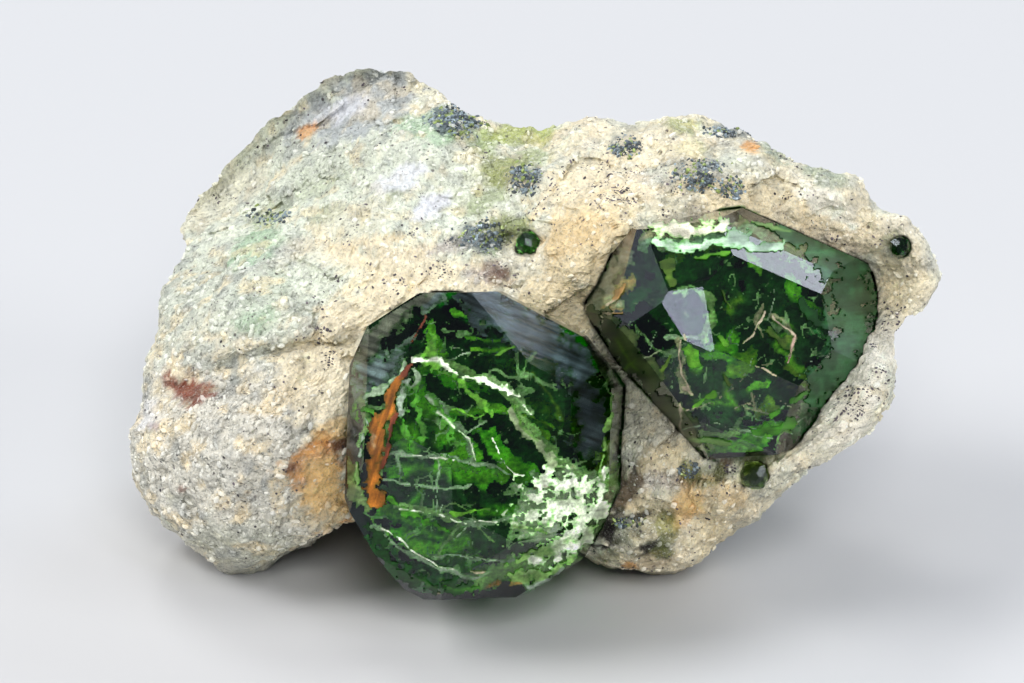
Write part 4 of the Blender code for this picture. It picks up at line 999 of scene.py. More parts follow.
def take_out(mesh, cutters):
    """The rock's mesh less the cutters' meshes."""
    rock = bpy.data.objects.new("rock_blank", mesh)
    bpy.context.scene.collection.objects.link(rock)
    spare = []
    for cutter_mesh in cutters:
        cutter = bpy.data.objects.new(cutter_mesh.name, cutter_mesh)
        bpy.context.scene.collection.objects.link(cutter)
        spare.append(cutter)
        cut = rock.modifiers.new(cutter.name, "BOOLEAN")
        cut.operation = "DIFFERENCE"
        cut.solver = "MANIFOLD"
        cut.object = cutter
    bpy.context.view_layer.update()
    finished = rock.evaluated_get(bpy.context.evaluated_depsgraph_get())
    done = bpy.data.meshes.new_from_object(finished)
    for item in spare + [rock]:
        bpy.data.objects.remove(item)
    return done


def front_planes(planes):
    """Planes of the row frame in metres as planes of the front frame in millimetres."""
    normals, distances = planes
    turned = turn_frame(normals)
    shift = turn_frame([np.asarray(ORIGIN) - [0.0, 0.0, FRONT_RISE]])[0]
    return turned, distances / MM + turned @ shift


def crystal_distance(points, crystals):
    """How far front-frame points lie outside the nearest crystal, in millimetres."""
    nearest = np.full(len(points), FAR)
    for planes in crystals.values():
        normals, distances = front_planes(planes)
        nearest = np.minimum(nearest, (points @ normals.T - distances).max(axis=1))
    return nearest


def depth_range(planes, at, inset):
    """Where the line of sight at (u, v) enters and leaves the block, inset from its faces.

    A line of sight beside the block enters it later than it leaves it.
    """
    normals, distances = front_planes(planes)
    entry, leave = np.full(len(at), -1e3), np.full(len(at), 1e3)
    for (nu, nv, nw), distance in zip(normals, distances):
        if abs(nw) < EDGE_ON:
            entry = np.where(at @ [nu, nv] > distance - inset, 1e3, entry)
        elif nw < 0.0:
            entry = np.maximum(entry, (distance - inset - at @ [nu, nv]) / nw)
        else:
            leave = np.minimum(leave, (distance - inset - at @ [nu, nv]) / nw)
    return entry, leave


def growth_at(at, flat, strokes, seed, torn):
    """Reach and colour of the strokes at the points (u, v).

    The reach is the distance to the nearest stroke's line in half widths, with ragged noise
    added, so that a stroke covers what is below one. Each point bends aside before it is
    measured, less so for a thin stroke. The colours of the strokes are mixed by nearness, and
    towards its edge a stroke thins out to a deeper green. A crackle keeps only the edges
    between random cells.
    """
    ragged = 0.40 * value_noise(flat, 0.42, seed + 2) + 0.34 * value_noise(flat, 0.19, seed + 3)
    ragged += 0.24 * value_noise(flat * [1.0, 2.4, 1.0], 0.10, seed + 4)
    tears = 0.6 * value_noise(flat, 0.30, seed + 15) + 0.6 * value_noise(flat, 0.13, seed + 16)
    bend = 0.30 * np.column_stack([value_noise(flat, 0.8, seed + 7), value_noise(flat, 0.8, seed + 8)])
    bend += 0.14 * np.column_stack([value_noise(flat, 0.33, seed + 11), value_noise(flat, 0.33, seed + 12)])
    bent = at + bend
    slanted = np.column_stack([bent @ [0.94, 0.34], bent @ [-0.55, 1.5], flat[:, 2]])
    edges = np.minimum(cell_edges(slanted, 2.1, seed + 9), 1.5 * cell_edges(slanted, 1.0, seed + 10))
    nearest = np.full(len(at), FAR)
    colour = np.zeros((len(at), 3))
    weight = np.full(len(at), 1e-9)
    for growth, half_width, path in strokes:
        aside = at + bend * min(1.0, 0.25 + 1.8 * half_width)
        reach = distance_to_path(aside, path) / half_width + ragged * (0.75 + 0.40 * min(half_width, 1.0))
        reach += (torn - 1.0) * (0.9 * tears + 0.25)
        if growth == "crackle":
            reach = np.maximum(reach, edges / 0.045 + 0.5 * np.abs(ragged))
        nearest = np.minimum(nearest, reach)
        pull = np.exp(-6.0 * np.clip(reach, 0.0, 4.0))
        colour += pull[:, None] * GROWTH[growth]
        weight += pull
    colour /= weight[:, None]
    thin = smooth_step(0.35, 1.0, nearest)[:, None]
    return nearest, colour + (colour * [0.30, 0.62, 0.22] - colour) * thin


def fibres_at(flat, seed, run, silk):
    """Light and dark of the fibres: a short fleece, or drawn out along run, under soft clouds."""
    if run is None:
        fibre = 1.0 + 0.38 * value_noise(flat * [1.0, 2.0, 1.0], 0.20, seed + 5)
        fibre += 0.34 * value_noise(flat, 0.08, seed + 6)
    else:
        along = flat @ [run[0], run[1], 0.0] / FIBRE_STRETCH
        drawn = np.column_stack([along, flat @ [-run[1], run[0], 0.0], flat[:, 2]])
        fibre = 1.0 + silk * (0.75 * value_noise(drawn, 0.16, seed + 5)
                              + 0.45 * value_noise(drawn * 2.3, 0.16, seed + 6))
    clouds = value_noise(flat, 0.6, seed + 13) + 0.6 * value_noise(flat, 0.25, seed + 14)
    return fibre * (0.55 + 0.6 * smooth_step(-0.6, 0.7, clouds))


def veil_sheet(name, planes, strokes, inset, relief, seed, material, run=None, step=0.055,
               silk=1.0, torn=1.0):
    """Lace of fibrous growth under the front faces of a crystal, or on them, with painted shade and painted
    reflection in some of its strokes.

    A grid over (u, v) lies at a set inset behind the faces and swells inwards by up to relief,
    and its cells are kept where the strokes reach. With a run, the fibres are drawn out along
    that way of (u, v); silk is how strongly they show. The more torn, the more ragged the edges
    and the more broken the thin strokes.
    """
    knots = np.vstack([path for _, _, path in strokes])
    low, high = knots.min(axis=0) - SHEET_MARGIN, knots.max(axis=0) + SHEET_MARGIN
    across, up = (np.arange(low[k], high[k], step) for k in range(2))
    at = np.stack(np.meshgrid(across, up, indexing="ij"), axis=-1).reshape(-1, 2)
    entry, leave = depth_range(planes, at, inset)
    flat = np.column_stack([at, np.zeros(len(at))])
    wave = 0.5 * value_noise(flat, 1.3, seed) + 0.12 * value_noise(flat, 0.3, seed + 1)
    w = entry + relief * (0.5 + wave)
    reach, colour = growth_at(at, flat, strokes, seed, torn)
    shade = fibres_at(flat, seed, run, silk)
    kept = (reach < 1.0) & (w < leave)
    grid = np.arange(len(at)).reshape(len(across), len(up))
    corners = [grid[:-1, :-1], grid[:-1, 1:], grid[1:, 1:], grid[1:, :-1]]
    cells = np.stack(corners, axis=-1).reshape(-1, 4)
    cells = cells[kept[cells].all(axis=1)]
    used, faces = np.unique(cells, return_inverse=True)
    mesh = new_mesh(name, to_row(np.column_stack([at, w])[used]), faces.reshape(-1, 4))
    set_colour(mesh, "tint", np.clip(colour * shade[:, None], 0.0, 1.0)[used])
    piece = new_piece(name, mesh, material)
    wall = piece.modifiers.new("thickness", "SOLIDIFY")
    wall.thickness = SHEET_THICKNESS * MM
    wall.offset = 0.0


def set_colour(mesh, name, values):
    """A colour for every vertex, red, green and blue, and a fourth value where given."""
    attribute = mesh.attributes.new(name, "FLOAT_COLOR", "POINT")
    rows = np.ones((len(values), 4), np.float32)
    rows[:, :values.shape[1]] = np.clip(values, 0.0, 1.0)
    attribute.data.foreach_set("color", rows.ravel())


def vertex_values(mesh, key):
    """The places ("co") or normals ("normal") of a mesh's vertices, as one array."""
    flat = np.zeros(len(mesh.vertices) * 3)
    mesh.vertices.foreach_get(key, flat)
    return flat.reshape(-1, 3)


def named(name):
    """A colour of the rock with its graininess."""
    return np.array(PALETTE[name])


def laid_over(colour, name, share):
    """The colours with a named one laid over them by a share from 0 to 1."""
    return colour + (named(name) - colour) * share[:, None]


def rock_colours(points, crystals):
    """Colour of the rock at front-frame points, with its graininess as a fourth value.

    Buff and cream are mixed by noise, three greyer tints spread in clouds over them, and each
    patch is an ellipse with a ragged edge on the front side. Then come warm and cold mottling
    where the rock is grainy, and painted shade on the socket walls round the crystals, with a
    painted green glow here and there.
    """
    mottle = value_noise(points, 2.6, 61) + 0.5 * value_noise(points, 1.1, 62)
    base = np.broadcast_to(named("pale_buff"), (len(points), 4))
    colour = laid_over(base, "cream", smooth_step(-0.6, 0.9, mottle))
    for cell, seed, name, strength in ((3.1, 64, "green_grey", 0.7), (1.3, 69, "white_green", 0.7),
                                       (0.9, 70, "grey_stone", 0.4)):
        colour = laid_over(colour, name, strength * smooth_step(0.0, 0.7, value_noise(points, cell, seed)))
    ragged = 0.42 * value_noise(points, 1.0, 65) + 0.34 * value_noise(points, 0.4, 66)
    ragged += 0.26 * value_noise(points, 0.2, 71)
    # Depth at which the front side ends: further back at the height of the knob
    behind = 9.5 + 5.0 * smooth_step(13.0, 17.0, points[:, 1])
    front_side = smooth_step(0.0, -3.0, points[:, 2] - behind)
    for u, v, half_width, half_height, turn, name, strength in PATCHES:
        along, across = turned_off(points, u, v, half_width, half_height, turn)
        reach = np.sqrt(along ** 2 + across ** 2) + ragged * 0.9
        colour = laid_over(colour, name, strength * smooth_step(1.15, 0.7, reach) * front_side)
    warm = smooth_step(0.15, 0.6, value_noise(points, 0.8, 74) + 0.5 * value_noise(points, 0.33, 75))
    cold = smooth_step(0.20, 0.7, value_noise(points, 0.66, 76) + 0.5 * value_noise(points, 0.28, 77))
    grain = colour[:, 3]
    for share, shade, strength in ((warm, WARM_MOTTLE, 0.6), (cold, COLD_MOTTLE, 0.62)):
        colour[:, :3] += (np.array(shade) - colour[:, :3]) * (share * strength * grain)[:, None]
    light = 1.0 + 0.14 * value_noise(points, 0.5, 63) + 0.12 * value_noise(points, 0.22, 72)
    colour[:, :3] *= light[:, None]
    # Painted shade on the socket walls in the gap round each crystal, with a painted green glow where light
    # would come through the crystal
    wall = smooth_step(SOCKET_GAP + 0.06, SOCKET_GAP + 0.01, crystal_distance(points, crystals))[:, None]
    glow = smooth_step(0.45, 1.1, value_noise(points, 1.4, 67) + 0.6 * value_noise(points, 0.5, 68))
    painted_shade_and_glow = np.array(SOCKET_PAINTED_SHADE) + glow[:, None] * np.array(SOCKET_PAINTED_GLOW)
    return colour + (painted_shade_and_glow - colour) * wall


# The streaked face of the left crystal: its outward normal and the run of its lines, (u, v, w)
ETCHED_FACE = (0.499, 0.667, -0.553)
ETCHED_RUN = (0.864, -0.334, 0.376)


class Finish:
    """A node material with a few short ways to add and join nodes."""

    def __init__(self, name):
        self.material = bpy.data.materials.new(name)
        self.material.use_nodes = True
        self.tree = self.material.node_tree
        self.shader = self.tree.nodes["Principled BSDF"]
        self.output = self.tree.nodes["Material Output"]
        self.place = self.node("ShaderNodeTexCoord").outputs["Object"]

    def join(self, value, socket):
        """Link a node's output to a socket, or set the socket to a number or a colour."""
        if isinstance(value, bpy.types.NodeSocket):
            self.tree.links.new(value, socket)
        elif isinstance(value, tuple) and socket.type == "RGBA":
            socket.default_value = (*value[:3], 1.0)
        else:
            socket.default_value = value

    def node(self, kind, inputs=None, **settings):
        """A new node with its settings, and its inputs joined by name or number."""
        made = self.tree.nodes.new(kind)
        for key, value in settings.items():
            setattr(made, key, value)
        for key, value in (inputs or {}).items():
            self.join(value, made.inputs[key])
        return made

    def noise(self, size, detail=3.0, rough=0.55, warp=0.0):
        """Noise whose lumps are about size millimetres."""
        return self.node("ShaderNodeTexNoise", {
            "Vector": self.place, "Scale": 1.0 / (size * MM), "Detail": detail,
            "Roughness": rough, "Distortion": warp}).outputs["Fac"]

    def cells(self, size):
        """Round cells of about size millimetres, with their distance and a random colour."""
        return self.node("ShaderNodeTexVoronoi", {"Vector": self.place, "Scale": 1.0 / (size * MM)})

    def ramp(self, value, low, high, to_low=0.0, to_high=1.0):
        """A straight rise from to_low at low to to_high at high, level outside."""
        return self.node("ShaderNodeMapRange", {
            "Value": value, "From Min": low, "From Max": high, "To Min": to_low,
            "To Max": to_high}).outputs["Result"]

    def math(self, kind, first, second):
        """Two values put together by the named kind of arithmetic."""
        return self.node("ShaderNodeMath", {0: first, 1: second}, operation=kind).outputs["Value"]

    def product(self, first, second):
        """Two values multiplied."""
        return self.math("MULTIPLY", first, second)

    def mix(self, share, first, second, blend="MIX"):
        """The second colour laid over the first by a share from 0 to 1."""
        made = self.node("ShaderNodeMix", {0: share, 6: first, 7: second}, data_type="RGBA",
                         blend_type=blend)
        return made.outputs[2]

    def shaded(self, colour, light):
        """A colour made lighter or darker by a plain factor."""
        grey = self.node("ShaderNodeCombineColor", {0: light, 1: light, 2: light}).outputs[0]
        return self.mix(1.0, colour, grey, "MULTIPLY")

    def tint(self):
        """The colour painted on the vertices, and its fourth value."""
        outputs = self.node("ShaderNodeAttribute", attribute_name="tint").outputs
        return outputs["Color"], outputs["Alpha"]

    def set(self, **values):
        """Set or join the shader's sockets, named with _ for each space."""
        for key, value in values.items():
            self.join(value, self.shader.inputs[key.replace("_", " ")])

    def bump(self, height, depth, strength=1.0, below=None):
        """Relief of a height from 0 to 1 that is depth millimetres high, on top of another."""
        inputs = {"Height": height, "Distance": depth * MM, "Strength": strength}
        if below:
            inputs["Normal"] = below
        return self.node("ShaderNodeBump", inputs).outputs["Normal"]

    def absorb(self, colour, density):
        """Absorption of the light on its way through the inside."""
        volume = self.node("ShaderNodeVolumeAbsorption", {"Color": colour, "Density": density})
        self.tree.links.new(volume.outputs["Volume"], self.output.inputs["Volume"])


def rock_finish():
    """Pale altered rock: its painted tint, broken up into dark and light grains and specks, with painted
    shade in the hollows of the fine relief and painted light on its crests.
    """
    f = Finish("altered_rock")
    tint, grainy = f.tint()
    fine = f.noise(0.22, 4.0, 0.7)
    powder = f.noise(0.09, 3.0, 0.7)
    dark = f.product(f.ramp(fine, 0.47, 0.34), grainy)
    colour = f.mix(f.product(dark, 0.85), tint, (0.12, 0.13, 0.10))
    dusty = f.math("ADD", f.product(grainy, 0.6), 0.15)
    colour = f.mix(f.product(f.ramp(powder, 0.52, 0.66), dusty), colour, (0.88, 0.88, 0.80))
    speck_cells = f.cells(0.30)
    near = f.ramp(speck_cells.outputs["Distance"], 0.34, 0.20)
    chance = f.node("ShaderNodeSeparateColor", {0: speck_cells.outputs["Color"]}).outputs[0]
    clusters = f.ramp(f.noise(1.6, 2.0), 0.45, 0.62, 0.15, 1.0)
    specks = f.product(f.product(near, f.ramp(chance, 0.80, 0.82)), clusters)
    colour = f.mix(f.product(specks, 0.85), colour, (0.09, 0.075, 0.075))
    # Painted shade and light: the tint darkens in the hollows and lightens on the crests of the same fine
    # noise that the bump raises
    colour = f.shaded(colour, f.ramp(fine, 0.3, 0.7, 0.80, 1.16))
    bump = f.bump(fine, 0.16)
    bump = f.bump(f.cells(0.24).outputs["Distance"], 0.07, 1.0, bump)
    bump = f.bump(powder, 0.05, 1.0, bump)
    f.set(Base_Color=colour, Roughness=f.ramp(f.noise(0.8), 0.3, 0.7, 0.80, 0.97), Normal=bump)
    return f.material


def grain_finish(name, roughness, dark):
    """Loose grains: the tint of each with a little powder on it, glittering where dark."""
    f = Finish(name)
    powder = f.ramp(f.noise(0.06, 3.0, 0.6), 0.3, 0.7, 0.75, 1.2)
    f.set(Base_Color=f.shaded(f.tint()[0], powder), Roughness=roughness)
    if dark:
        f.set(Metallic=0.25, Coat_Weight=0.3)
    return f.material


def clear_garnet(name, colour, density, roughness):
    """Clear green garnet: plain transmission, with fine growth lines on its faces.

    The face of the large crystal that lies across ETCHED_FACE is etched far deeper, with
    streaks drawn out along ETCHED_RUN.
    """
    f = Finish(name)
    normal, run = (Vector(turn_frame([way])[0]).normalized() for way in (ETCHED_FACE, ETCHED_RUN))
    drawn = {}
    for axis, (way, size) in enumerate(((run, 3.2), (normal.cross(run), 0.16), (normal, 0.8))):
        drawn[axis] = f.node("ShaderNodeVectorMath", {0: f.place, 1: way / (size * MM)},
                             operation="DOT_PRODUCT").outputs["Value"]
    along = f.node("ShaderNodeCombineXYZ", drawn).outputs[0]
    streaks = f.node("ShaderNodeTexNoise", {"Vector": along, "Scale": 1.0, "Detail": 5.0}).outputs["Fac"]
    outward = f.node("ShaderNodeNewGeometry").outputs["True Normal"]
    facing = f.node("ShaderNodeVectorMath", {0: outward, 1: normal},
                    operation="DOT_PRODUCT").outputs["Value"]
    fine = f.bump(f.noise(0.5, 4.0, 0.6, 0.4), 0.010)
    streaked = f.bump(streaks, 0.13, f.ramp(facing, 0.988, 0.993), fine)
    f.set(Base_Color=(0.92, 1.0, 0.9), Roughness=roughness, IOR=1.88, Transmission_Weight=1.0,
          Specular_Tint=(0.32, 0.35, 0.38), Normal=streaked)
    f.absorb(colour, density)
    return f.material


def growth_finish(name, polish):
    """Fibrous growth: its painted tint with fine fibres, and a gloss where it is cut flush."""
    f = Finish(name)
    fibre = f.ramp(f.noise(0.07, 3.0, 0.6), 0.3, 0.7, 0.7, 1.25)
    f.set(Base_Color=f.shaded(f.tint()[0], fibre), Roughness=0.55, Specular_IOR_Level=0.2,
          Coat_Weight=polish, Coat_Roughness=0.08)
    return f.material


# Corners and sides of the plain ball of twenty sides that each grain starts from
GOLDEN = 0.5 * (1.0 + math.sqrt(5.0))
BALL_CORNERS = [
    (-1, GOLDEN, 0), (1, GOLDEN, 0), (-1, -GOLDEN, 0), (1, -GOLDEN, 0),
    (0, -1, GOLDEN), (0, 1, GOLDEN), (0, -1, -GOLDEN), (0, 1, -GOLDEN),
    (GOLDEN, 0, -1), (GOLDEN, 0, 1), (-GOLDEN, 0, -1), (-GOLDEN, 0, 1),
]
BALL_SIDES = [
    (0, 11, 5), (0, 5, 1), (0, 1, 7), (0, 7, 10), (0, 10, 11), (1, 5, 9), (5, 11, 4),
    (11, 10, 2), (10, 7, 6), (7, 1, 8), (3, 9, 4), (3, 4, 2), (3, 2, 6), (3, 6, 8),
    (3, 8, 9), (4, 9, 5), (2, 4, 11), (6, 2, 10), (8, 6, 7), (9, 8, 1),
]


def scattered_grains(name, rock, share, count, sizes, squash, seed, tint_of, material):
    """Small angular grains half sunk in the rock.

    A grain is a ball of twelve corners that are pushed in and out at random, squashed along
    the rock's normal, turned at random about it and set at a random point of the rock where
    share, a chance for each vertex, allows it. Sizes are the least and the largest half width
    in millimetres, and small grains are the more common.
    """
    dice = np.random.default_rng(seed)
    places = vertex_values(rock, "co")
    chosen = dice.choice(len(places), count, p=share / share.sum())
    ball = np.array(BALL_CORNERS, float)
    ball /= np.linalg.norm(ball[0])
    up = vertex_values(rock, "normal")[chosen]
    spin = dice.normal(size=(count, 3))
    first = np.cross(up, spin)
    first /= np.linalg.norm(first, axis=1)[:, None]
    second = np.cross(up, first)
    size = sizes[0] * (sizes[1] / sizes[0]) ** (dice.random(count) ** 1.6) * MM
    stretch = 0.7 + 0.8 * dice.random(count)
    bumpy = ball[None] * (0.72 + 0.5 * dice.random((count, 12, 1)))
    corners = places[chosen][:, None] + (
        bumpy[:, :, 0:1] * (first * (size * stretch)[:, None])[:, None]
        + bumpy[:, :, 1:2] * (second * (size / stretch)[:, None])[:, None]
        + bumpy[:, :, 2:3] * (up * (size * squash)[:, None])[:, None])
    corners += (dice.random((count, 1, 1)) - 0.6) * (up * size[:, None])[:, None] * squash
    corners[:, :, 2] = np.maximum(corners[:, :, 2], 0.0)
    faces = (np.array(BALL_SIDES)[None] + 12 * np.arange(count)[:, None, None]).reshape(-1, 3)
    mesh = new_mesh(name, corners.reshape(-1, 3), faces)
    set_colour(mesh, "tint", np.repeat(tint_of(chosen, dice), 12, axis=0))
    new_piece(name, mesh, material)


def crust_tint(chosen, dice):
    """Dark grey-green grains with a few bright green ones."""
    tint = np.array([0.12, 0.15, 0.165]) * (0.4 + 2.6 * dice.random((len(chosen), 1)) ** 2)
    green = np.array([0.30, 0.38, 0.12]) * (0.6 + 0.8 * dice.random((len(chosen), 1)))
    return np.where(dice.random((len(chosen), 1)) < 0.22, green, tint)


def speck_tint(chosen, dice):
    """Violet-grey to brown-black specks."""
    return np.array([0.075, 0.062, 0.070]) * (0.4 + 2.2 * dice.random((len(chosen), 1)) ** 2)


def zone_reach(points, zones):
    """Squared distance to the nearest zone's middle, in its half width and height."""
    return np.min([((points[:, 0] - u) / wide) ** 2 + ((points[:, 1] - v) / high) ** 2
                   for u, v, wide, high in zones], axis=0)


def add_floor():
    """A plain pale level floor under the stone."""
    f = Finish("plain_floor")
    f.set(Base_Color=FLOOR_COLOUR, Roughness=0.9, Specular_IOR_Level=0.2)
    corners = np.array([(-1, -1, 0), (1, -1, 0), (1, 1, 0), (-1, 1, 0)]) * FLOOR_HALF_SIZE
    mesh = new_mesh("floor", corners, [(0, 1, 2, 3)])
    floor = bpy.data.objects.new("floor", mesh)
    bpy.context.scene.collection.objects.link(floor)
    mesh.materials.append(f.material)


def add_light(name, azimuth, elevation, width, power, colour):
    """A soft square light that faces the stone. Azimuth 0 is the front and 90 the right."""
    light = bpy.data.lights.new(name, "AREA")
    light.shape = "SQUARE"
    light.size = width
    light.energy = power
    light.color = colour
    item = bpy.data.objects.new(name, light)
    bpy.context.scene.collection.objects.link(item)
    turn, rise = math.radians(azimuth), math.radians(elevation)
    away = Vector((math.sin(turn) * math.cos(rise), -math.cos(turn) * math.cos(rise), math.sin(rise)))
    item.location = away * LIGHT_DISTANCE + Vector(STONE_MIDDLE)
    item.rotation_euler = away.to_track_quat("Z", "Y").to_euler()


def add_world():
    """Faint bluish light from all round."""
    world = bpy.data.worlds.new("soft_studio")
    bpy.context.scene.world = world
    world.use_nodes = True
    shade = world.node_tree.nodes["Background"]
    shade.inputs["Color"].default_value = WORLD_COLOUR
    shade.inputs["Strength"].default_value = WORLD_STRENGTH


def add_camera():
    """Eye on the tilted front line, at the scale of the front frame at w = 0."""
    data = bpy.data.cameras.new("camera")
    data.sensor_width = 36.0
    data.lens = data.sensor_width * EYE_DISTANCE / (PICTURE_WIDTH_PX * PIXEL)
    data.clip_start = 0.01
    data.clip_end = 20.0
    item = bpy.data.objects.new("camera", data)
    bpy.context.scene.collection.objects.link(item)
    item.location = to_row([(*PICTURE_MIDDLE, -EYE_DISTANCE)])[0]
    item.rotation_euler = (0.5 * math.pi - FRONT_TILT, 0.0, 0.0)
    bpy.context.scene.camera = item


# Studio: the floor, the point that all lights face and how far off they stand, in metres,
# and the light from all round
FLOOR_HALF_SIZE = 3.0
FLOOR_COLOUR = (0.56, 0.56, 0.56)
STONE_MIDDLE = (0.0, 0.0, 0.01)
LIGHT_DISTANCE = 1.0
WORLD_COLOUR = (0.80, 0.86, 1.0, 1.0)
WORLD_STRENGTH = 0.22
# Camera, in millimetres of the front frame: a photo pixel's width on the stone, and the
# picture's middle as (u, v)
PIXEL = 0.04455
PICTURE_WIDTH_PX = 1024
PICTURE_MIDDLE = (-0.85, 10.97)
EYE_DISTANCE = 380.0

WHITE = (1.0, 1.0, 1.0)
# Lights: azimuth, elevation, width in metres, power in watts, colour. front_high, rear_low
# and rear_high stand where single facets of the large crystals mirror them to the camera
LIGHTS = {
    "key": (-78, 46, 0.50, 6.6, WHITE),
    "front": (5, 38, 0.30, 4.6, WHITE),
    "top": (0, 90, 0.40, 1.2, WHITE),
    "right": (62, 22, 0.30, 2.8, WHITE),
    "front_high": (28, 51, 0.18, 0.95, (0.88, 0.86, 1.0)),
    "rear_low": (151, 14, 0.18, 0.34, (0.86, 0.90, 1.0)),
    "rear_high": (138, 32, 0.42, 3.0, (0.66, 0.80, 1.0)),
    "rear_left": (-155, 50, 0.30, 2.4, WHITE),
    "left_low": (-123, 32, 0.22, 0.15, (0.85, 0.90, 1.0)),
}

# Crystals and their garnet
CRYSTAL_GARNETS = {
    "crystal_left": "clear_garnet", "crystal_right": "clear_garnet", "crystal_rim": "deep_garnet",
    "crystal_toe": "olive_garnet", "crystal_shelf": "bright_garnet",
}
# Garnets: colour and density of the absorption, roughness of the faces
GARNETS = {
    "clear_garnet": ((0.30, 0.84, 0.08), 460.0, 0.03),
    "olive_garnet": ((0.55, 0.68, 0.05), 1500.0, 0.25),
    "bright_garnet": ((0.35, 0.85, 0.08), 1300.0, 0.2),
    "deep_garnet": ((0.25, 0.66, 0.10), 2600.0, 0.10),
}

# How far grains keep from the crystals' faces and from the floor, in millimetres
GRAIN_CLEARANCE = 0.35
GRAIN_FLOOR = 0.4
# Depths w behind which there is no dark crust, and fewer pale grains
CRUST_END = 9.0
PALE_END = 8.0
# Crusts of dark grains: (u, v, half width, half height)
CRUSTS = [
    (4.2, 19.7, 0.65, 0.48), (-0.2, 18.2, 0.72, 0.70), (7.5, 18.4, 1.10, 0.70),
    (8.8, 17.8, 0.60, 0.45), (-3.3, 20.9, 1.15, 0.65), (-2.2, 15.6, 1.15, 0.60),
    (8.9, 20.4, 1.0, 0.30), (-11.9, 16.6, 0.9, 0.35), (6.9, 5.3, 0.45, 0.35),
    (4.0, 3.0, 1.0, 0.25),
]
# Where small dark specks crowd together: (u, v, half width, half height)
SPECKLED = [
    (-6.6, 13.6, 1.6, 0.5), (-3.2, 14.3, 1.8, 0.7), (-9.0, 11.0, 0.6, 1.4),
    (3.4, 17.6, 2.6, 1.0), (7.2, 16.9, 1.8, 0.5), (10.6, 16.9, 1.0, 0.6),
    (13.8, 15.4, 1.6, 0.5), (15.2, 9.6, 1.6, 2.2), (-6.2, 15.6, 2.4, 0.4),
    (0.2, 17.0, 0.7, 0.9), (8.5, 5.2, 1.4, 0.6),
]

# Sheets of growth, with painted shade and painted reflection in some of them: crystal, strokes, how far
# behind the faces (below zero is in front of them), relief, seed, whether it is cut flush and polished, and
# veil_sheet's other settings
SHEETS = {
    "skin_left": ("crystal_left", LEFT_SKIN, -0.03, 0.0, 151, True, {"step": 0.045, "torn": 1.9}),
    "etched_and_reflection_left": ("crystal_left", LEFT_ETCHED_AND_REFLECTION, 0.06, 0.0, 161, False, {"run": (0.93, -0.36)}),
    "skin_right": ("crystal_right", RIGHT_SKIN, -0.03, 0.0, 171, True,
                   {"run": (1.0, 0.08), "silk": 0.4, "step": 0.045, "torn": 1.35}),
    "depth_left": ("crystal_left", LEFT_DEPTH, 1.9, 1.4, 181, False, {"step": 0.12}),
    "depth_right": ("crystal_right", RIGHT_DEPTH, 1.9, 1.4, 191, False, {"step": 0.12}),
    "veins_left": ("crystal_left", LEFT_VEINS, 0.22, 0.25, 101, False, {}),
    "veils_left": ("crystal_left", LEFT_VEILS, 0.75, 0.9, 111, False, {}),
    "rust_seam": ("crystal_left", RUST_SEAM, -0.035, 0.0, 121, True,
                  {"run": (-0.3, -0.95), "silk": 0.8, "torn": 1.4}),
    "veins_right": ("crystal_right", RIGHT_VEINS, 0.22, 0.25, 131, False, {}),
    "veils_right": ("crystal_right", RIGHT_VEILS, 0.75, 0.9, 141, False, {}),
}

# The studio
add_camera()
add_floor()
add_world()
for light_name, setting in LIGHTS.items():
    add_light(light_name, *setting)
bpy.context.scene.view_settings.view_transform = "Standard"
bpy.context.scene.cycles.max_bounces = 9
bpy.context.scene.cycles.transmission_bounces = 9
bpy.context.scene.cycles.diffuse_bounces = 3
bpy.context.scene.cycles.glossy_bounces = 3

# The rock, with a socket for each crystal
crystals = {node_name: planes_of(node_name) for node_name in CRYSTAL_GARNETS}
blank = new_mesh("rock_blank", *fine_rock(ROCK_CELLS))
sockets = [grown_block(node_name + "_socket", planes, SOCKET_GAP * MM)
           for node_name, planes in crystals.items()]
rock = take_out(blank, sockets)
rock_places = to_front(vertex_values(rock, "co"))
rock_tint = rock_colours(rock_places, crystals)
set_colour(rock, "tint", rock_tint)
matrix = new_piece("rock", rock, rock_finish())
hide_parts("matrix")

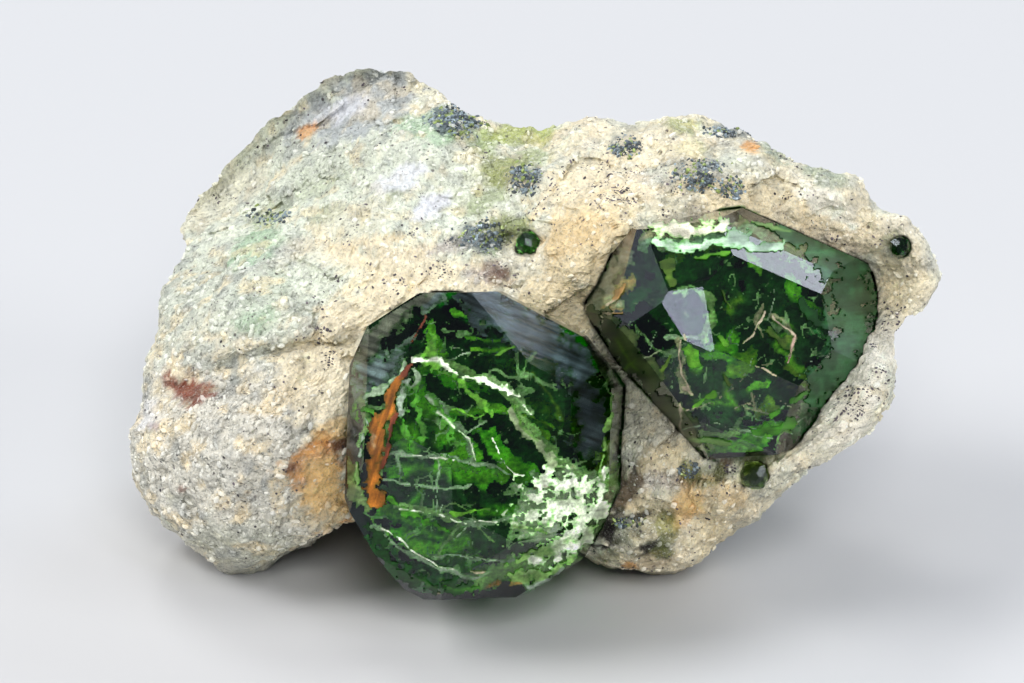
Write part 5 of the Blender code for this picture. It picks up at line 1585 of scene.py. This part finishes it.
# The grains on the rock, each kind with its chance at every vertex of the rock
off_floor = vertex_values(rock, "co")[:, 2] > GRAIN_FLOOR * MM
open_rock = (crystal_distance(rock_places, crystals) > GRAIN_CLEARANCE) & off_floor
depth = rock_places[:, 2]


def pale_tint(chosen, dice):
    """The rock's own tint at each grain, whitened by chance."""
    own = rock_tint[chosen, :3]
    return own + (np.array([0.86, 0.86, 0.78]) - own) * 0.6 * dice.random((len(chosen), 1))


crust_reach = zone_reach(rock_places, CRUSTS) + 0.5 * value_noise(rock_places, 0.6, 73)
crust_share = open_rock * np.exp(-1.2 * np.maximum(crust_reach, 0.0) ** 2) * (depth < CRUST_END)
crowds = value_noise(rock_places, 0.8, 78) + 0.5 * value_noise(rock_places, 0.35, 79)
speck_share = open_rock * (0.06 + 0.94 * np.exp(-zone_reach(rock_places, SPECKLED)))
speck_share *= 0.03 + 0.97 * smooth_step(0.0, 0.6, crowds)
pale_share = open_rock * (0.15 + rock_tint[:, 3] ** 2) * np.where(depth < PALE_END, 1.0, 0.35)
scattered_grains("dark_crust", rock, crust_share, count=3600, sizes=(0.045, 0.13), squash=0.9,
                 seed=9, tint_of=crust_tint, material=grain_finish("dark_crust", 0.38, True))
scattered_grains("dark_specks", rock, speck_share, count=5500, sizes=(0.025, 0.085), squash=0.5,
                 seed=8, tint_of=speck_tint, material=grain_finish("dark_specks", 0.6, False))
scattered_grains("pale_grains", rock, pale_share, count=7500, sizes=(0.045, 0.19), squash=0.7,
                 seed=7, tint_of=pale_tint, material=grain_finish("pale_grains", 0.85, False))

# The crystals and what is grown into them
growth_finishes = {False: growth_finish("fibrous_growth", 0.0), True: growth_finish("flush_growth", 0.15)}
for sheet_name, (node_name, strokes, inset, relief, seed, flush, settings) in SHEETS.items():
    veil_sheet(sheet_name, crystals[node_name], strokes, inset, relief, seed, growth_finishes[flush],
               **settings)
garnets = {name: clear_garnet(name, *values) for name, values in GARNETS.items()}
for node_name, garnet_name in CRYSTAL_GARNETS.items():
    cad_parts[node_name].material_slots[0].material = garnets[garnet_name]

bpy.context.view_layer.update()
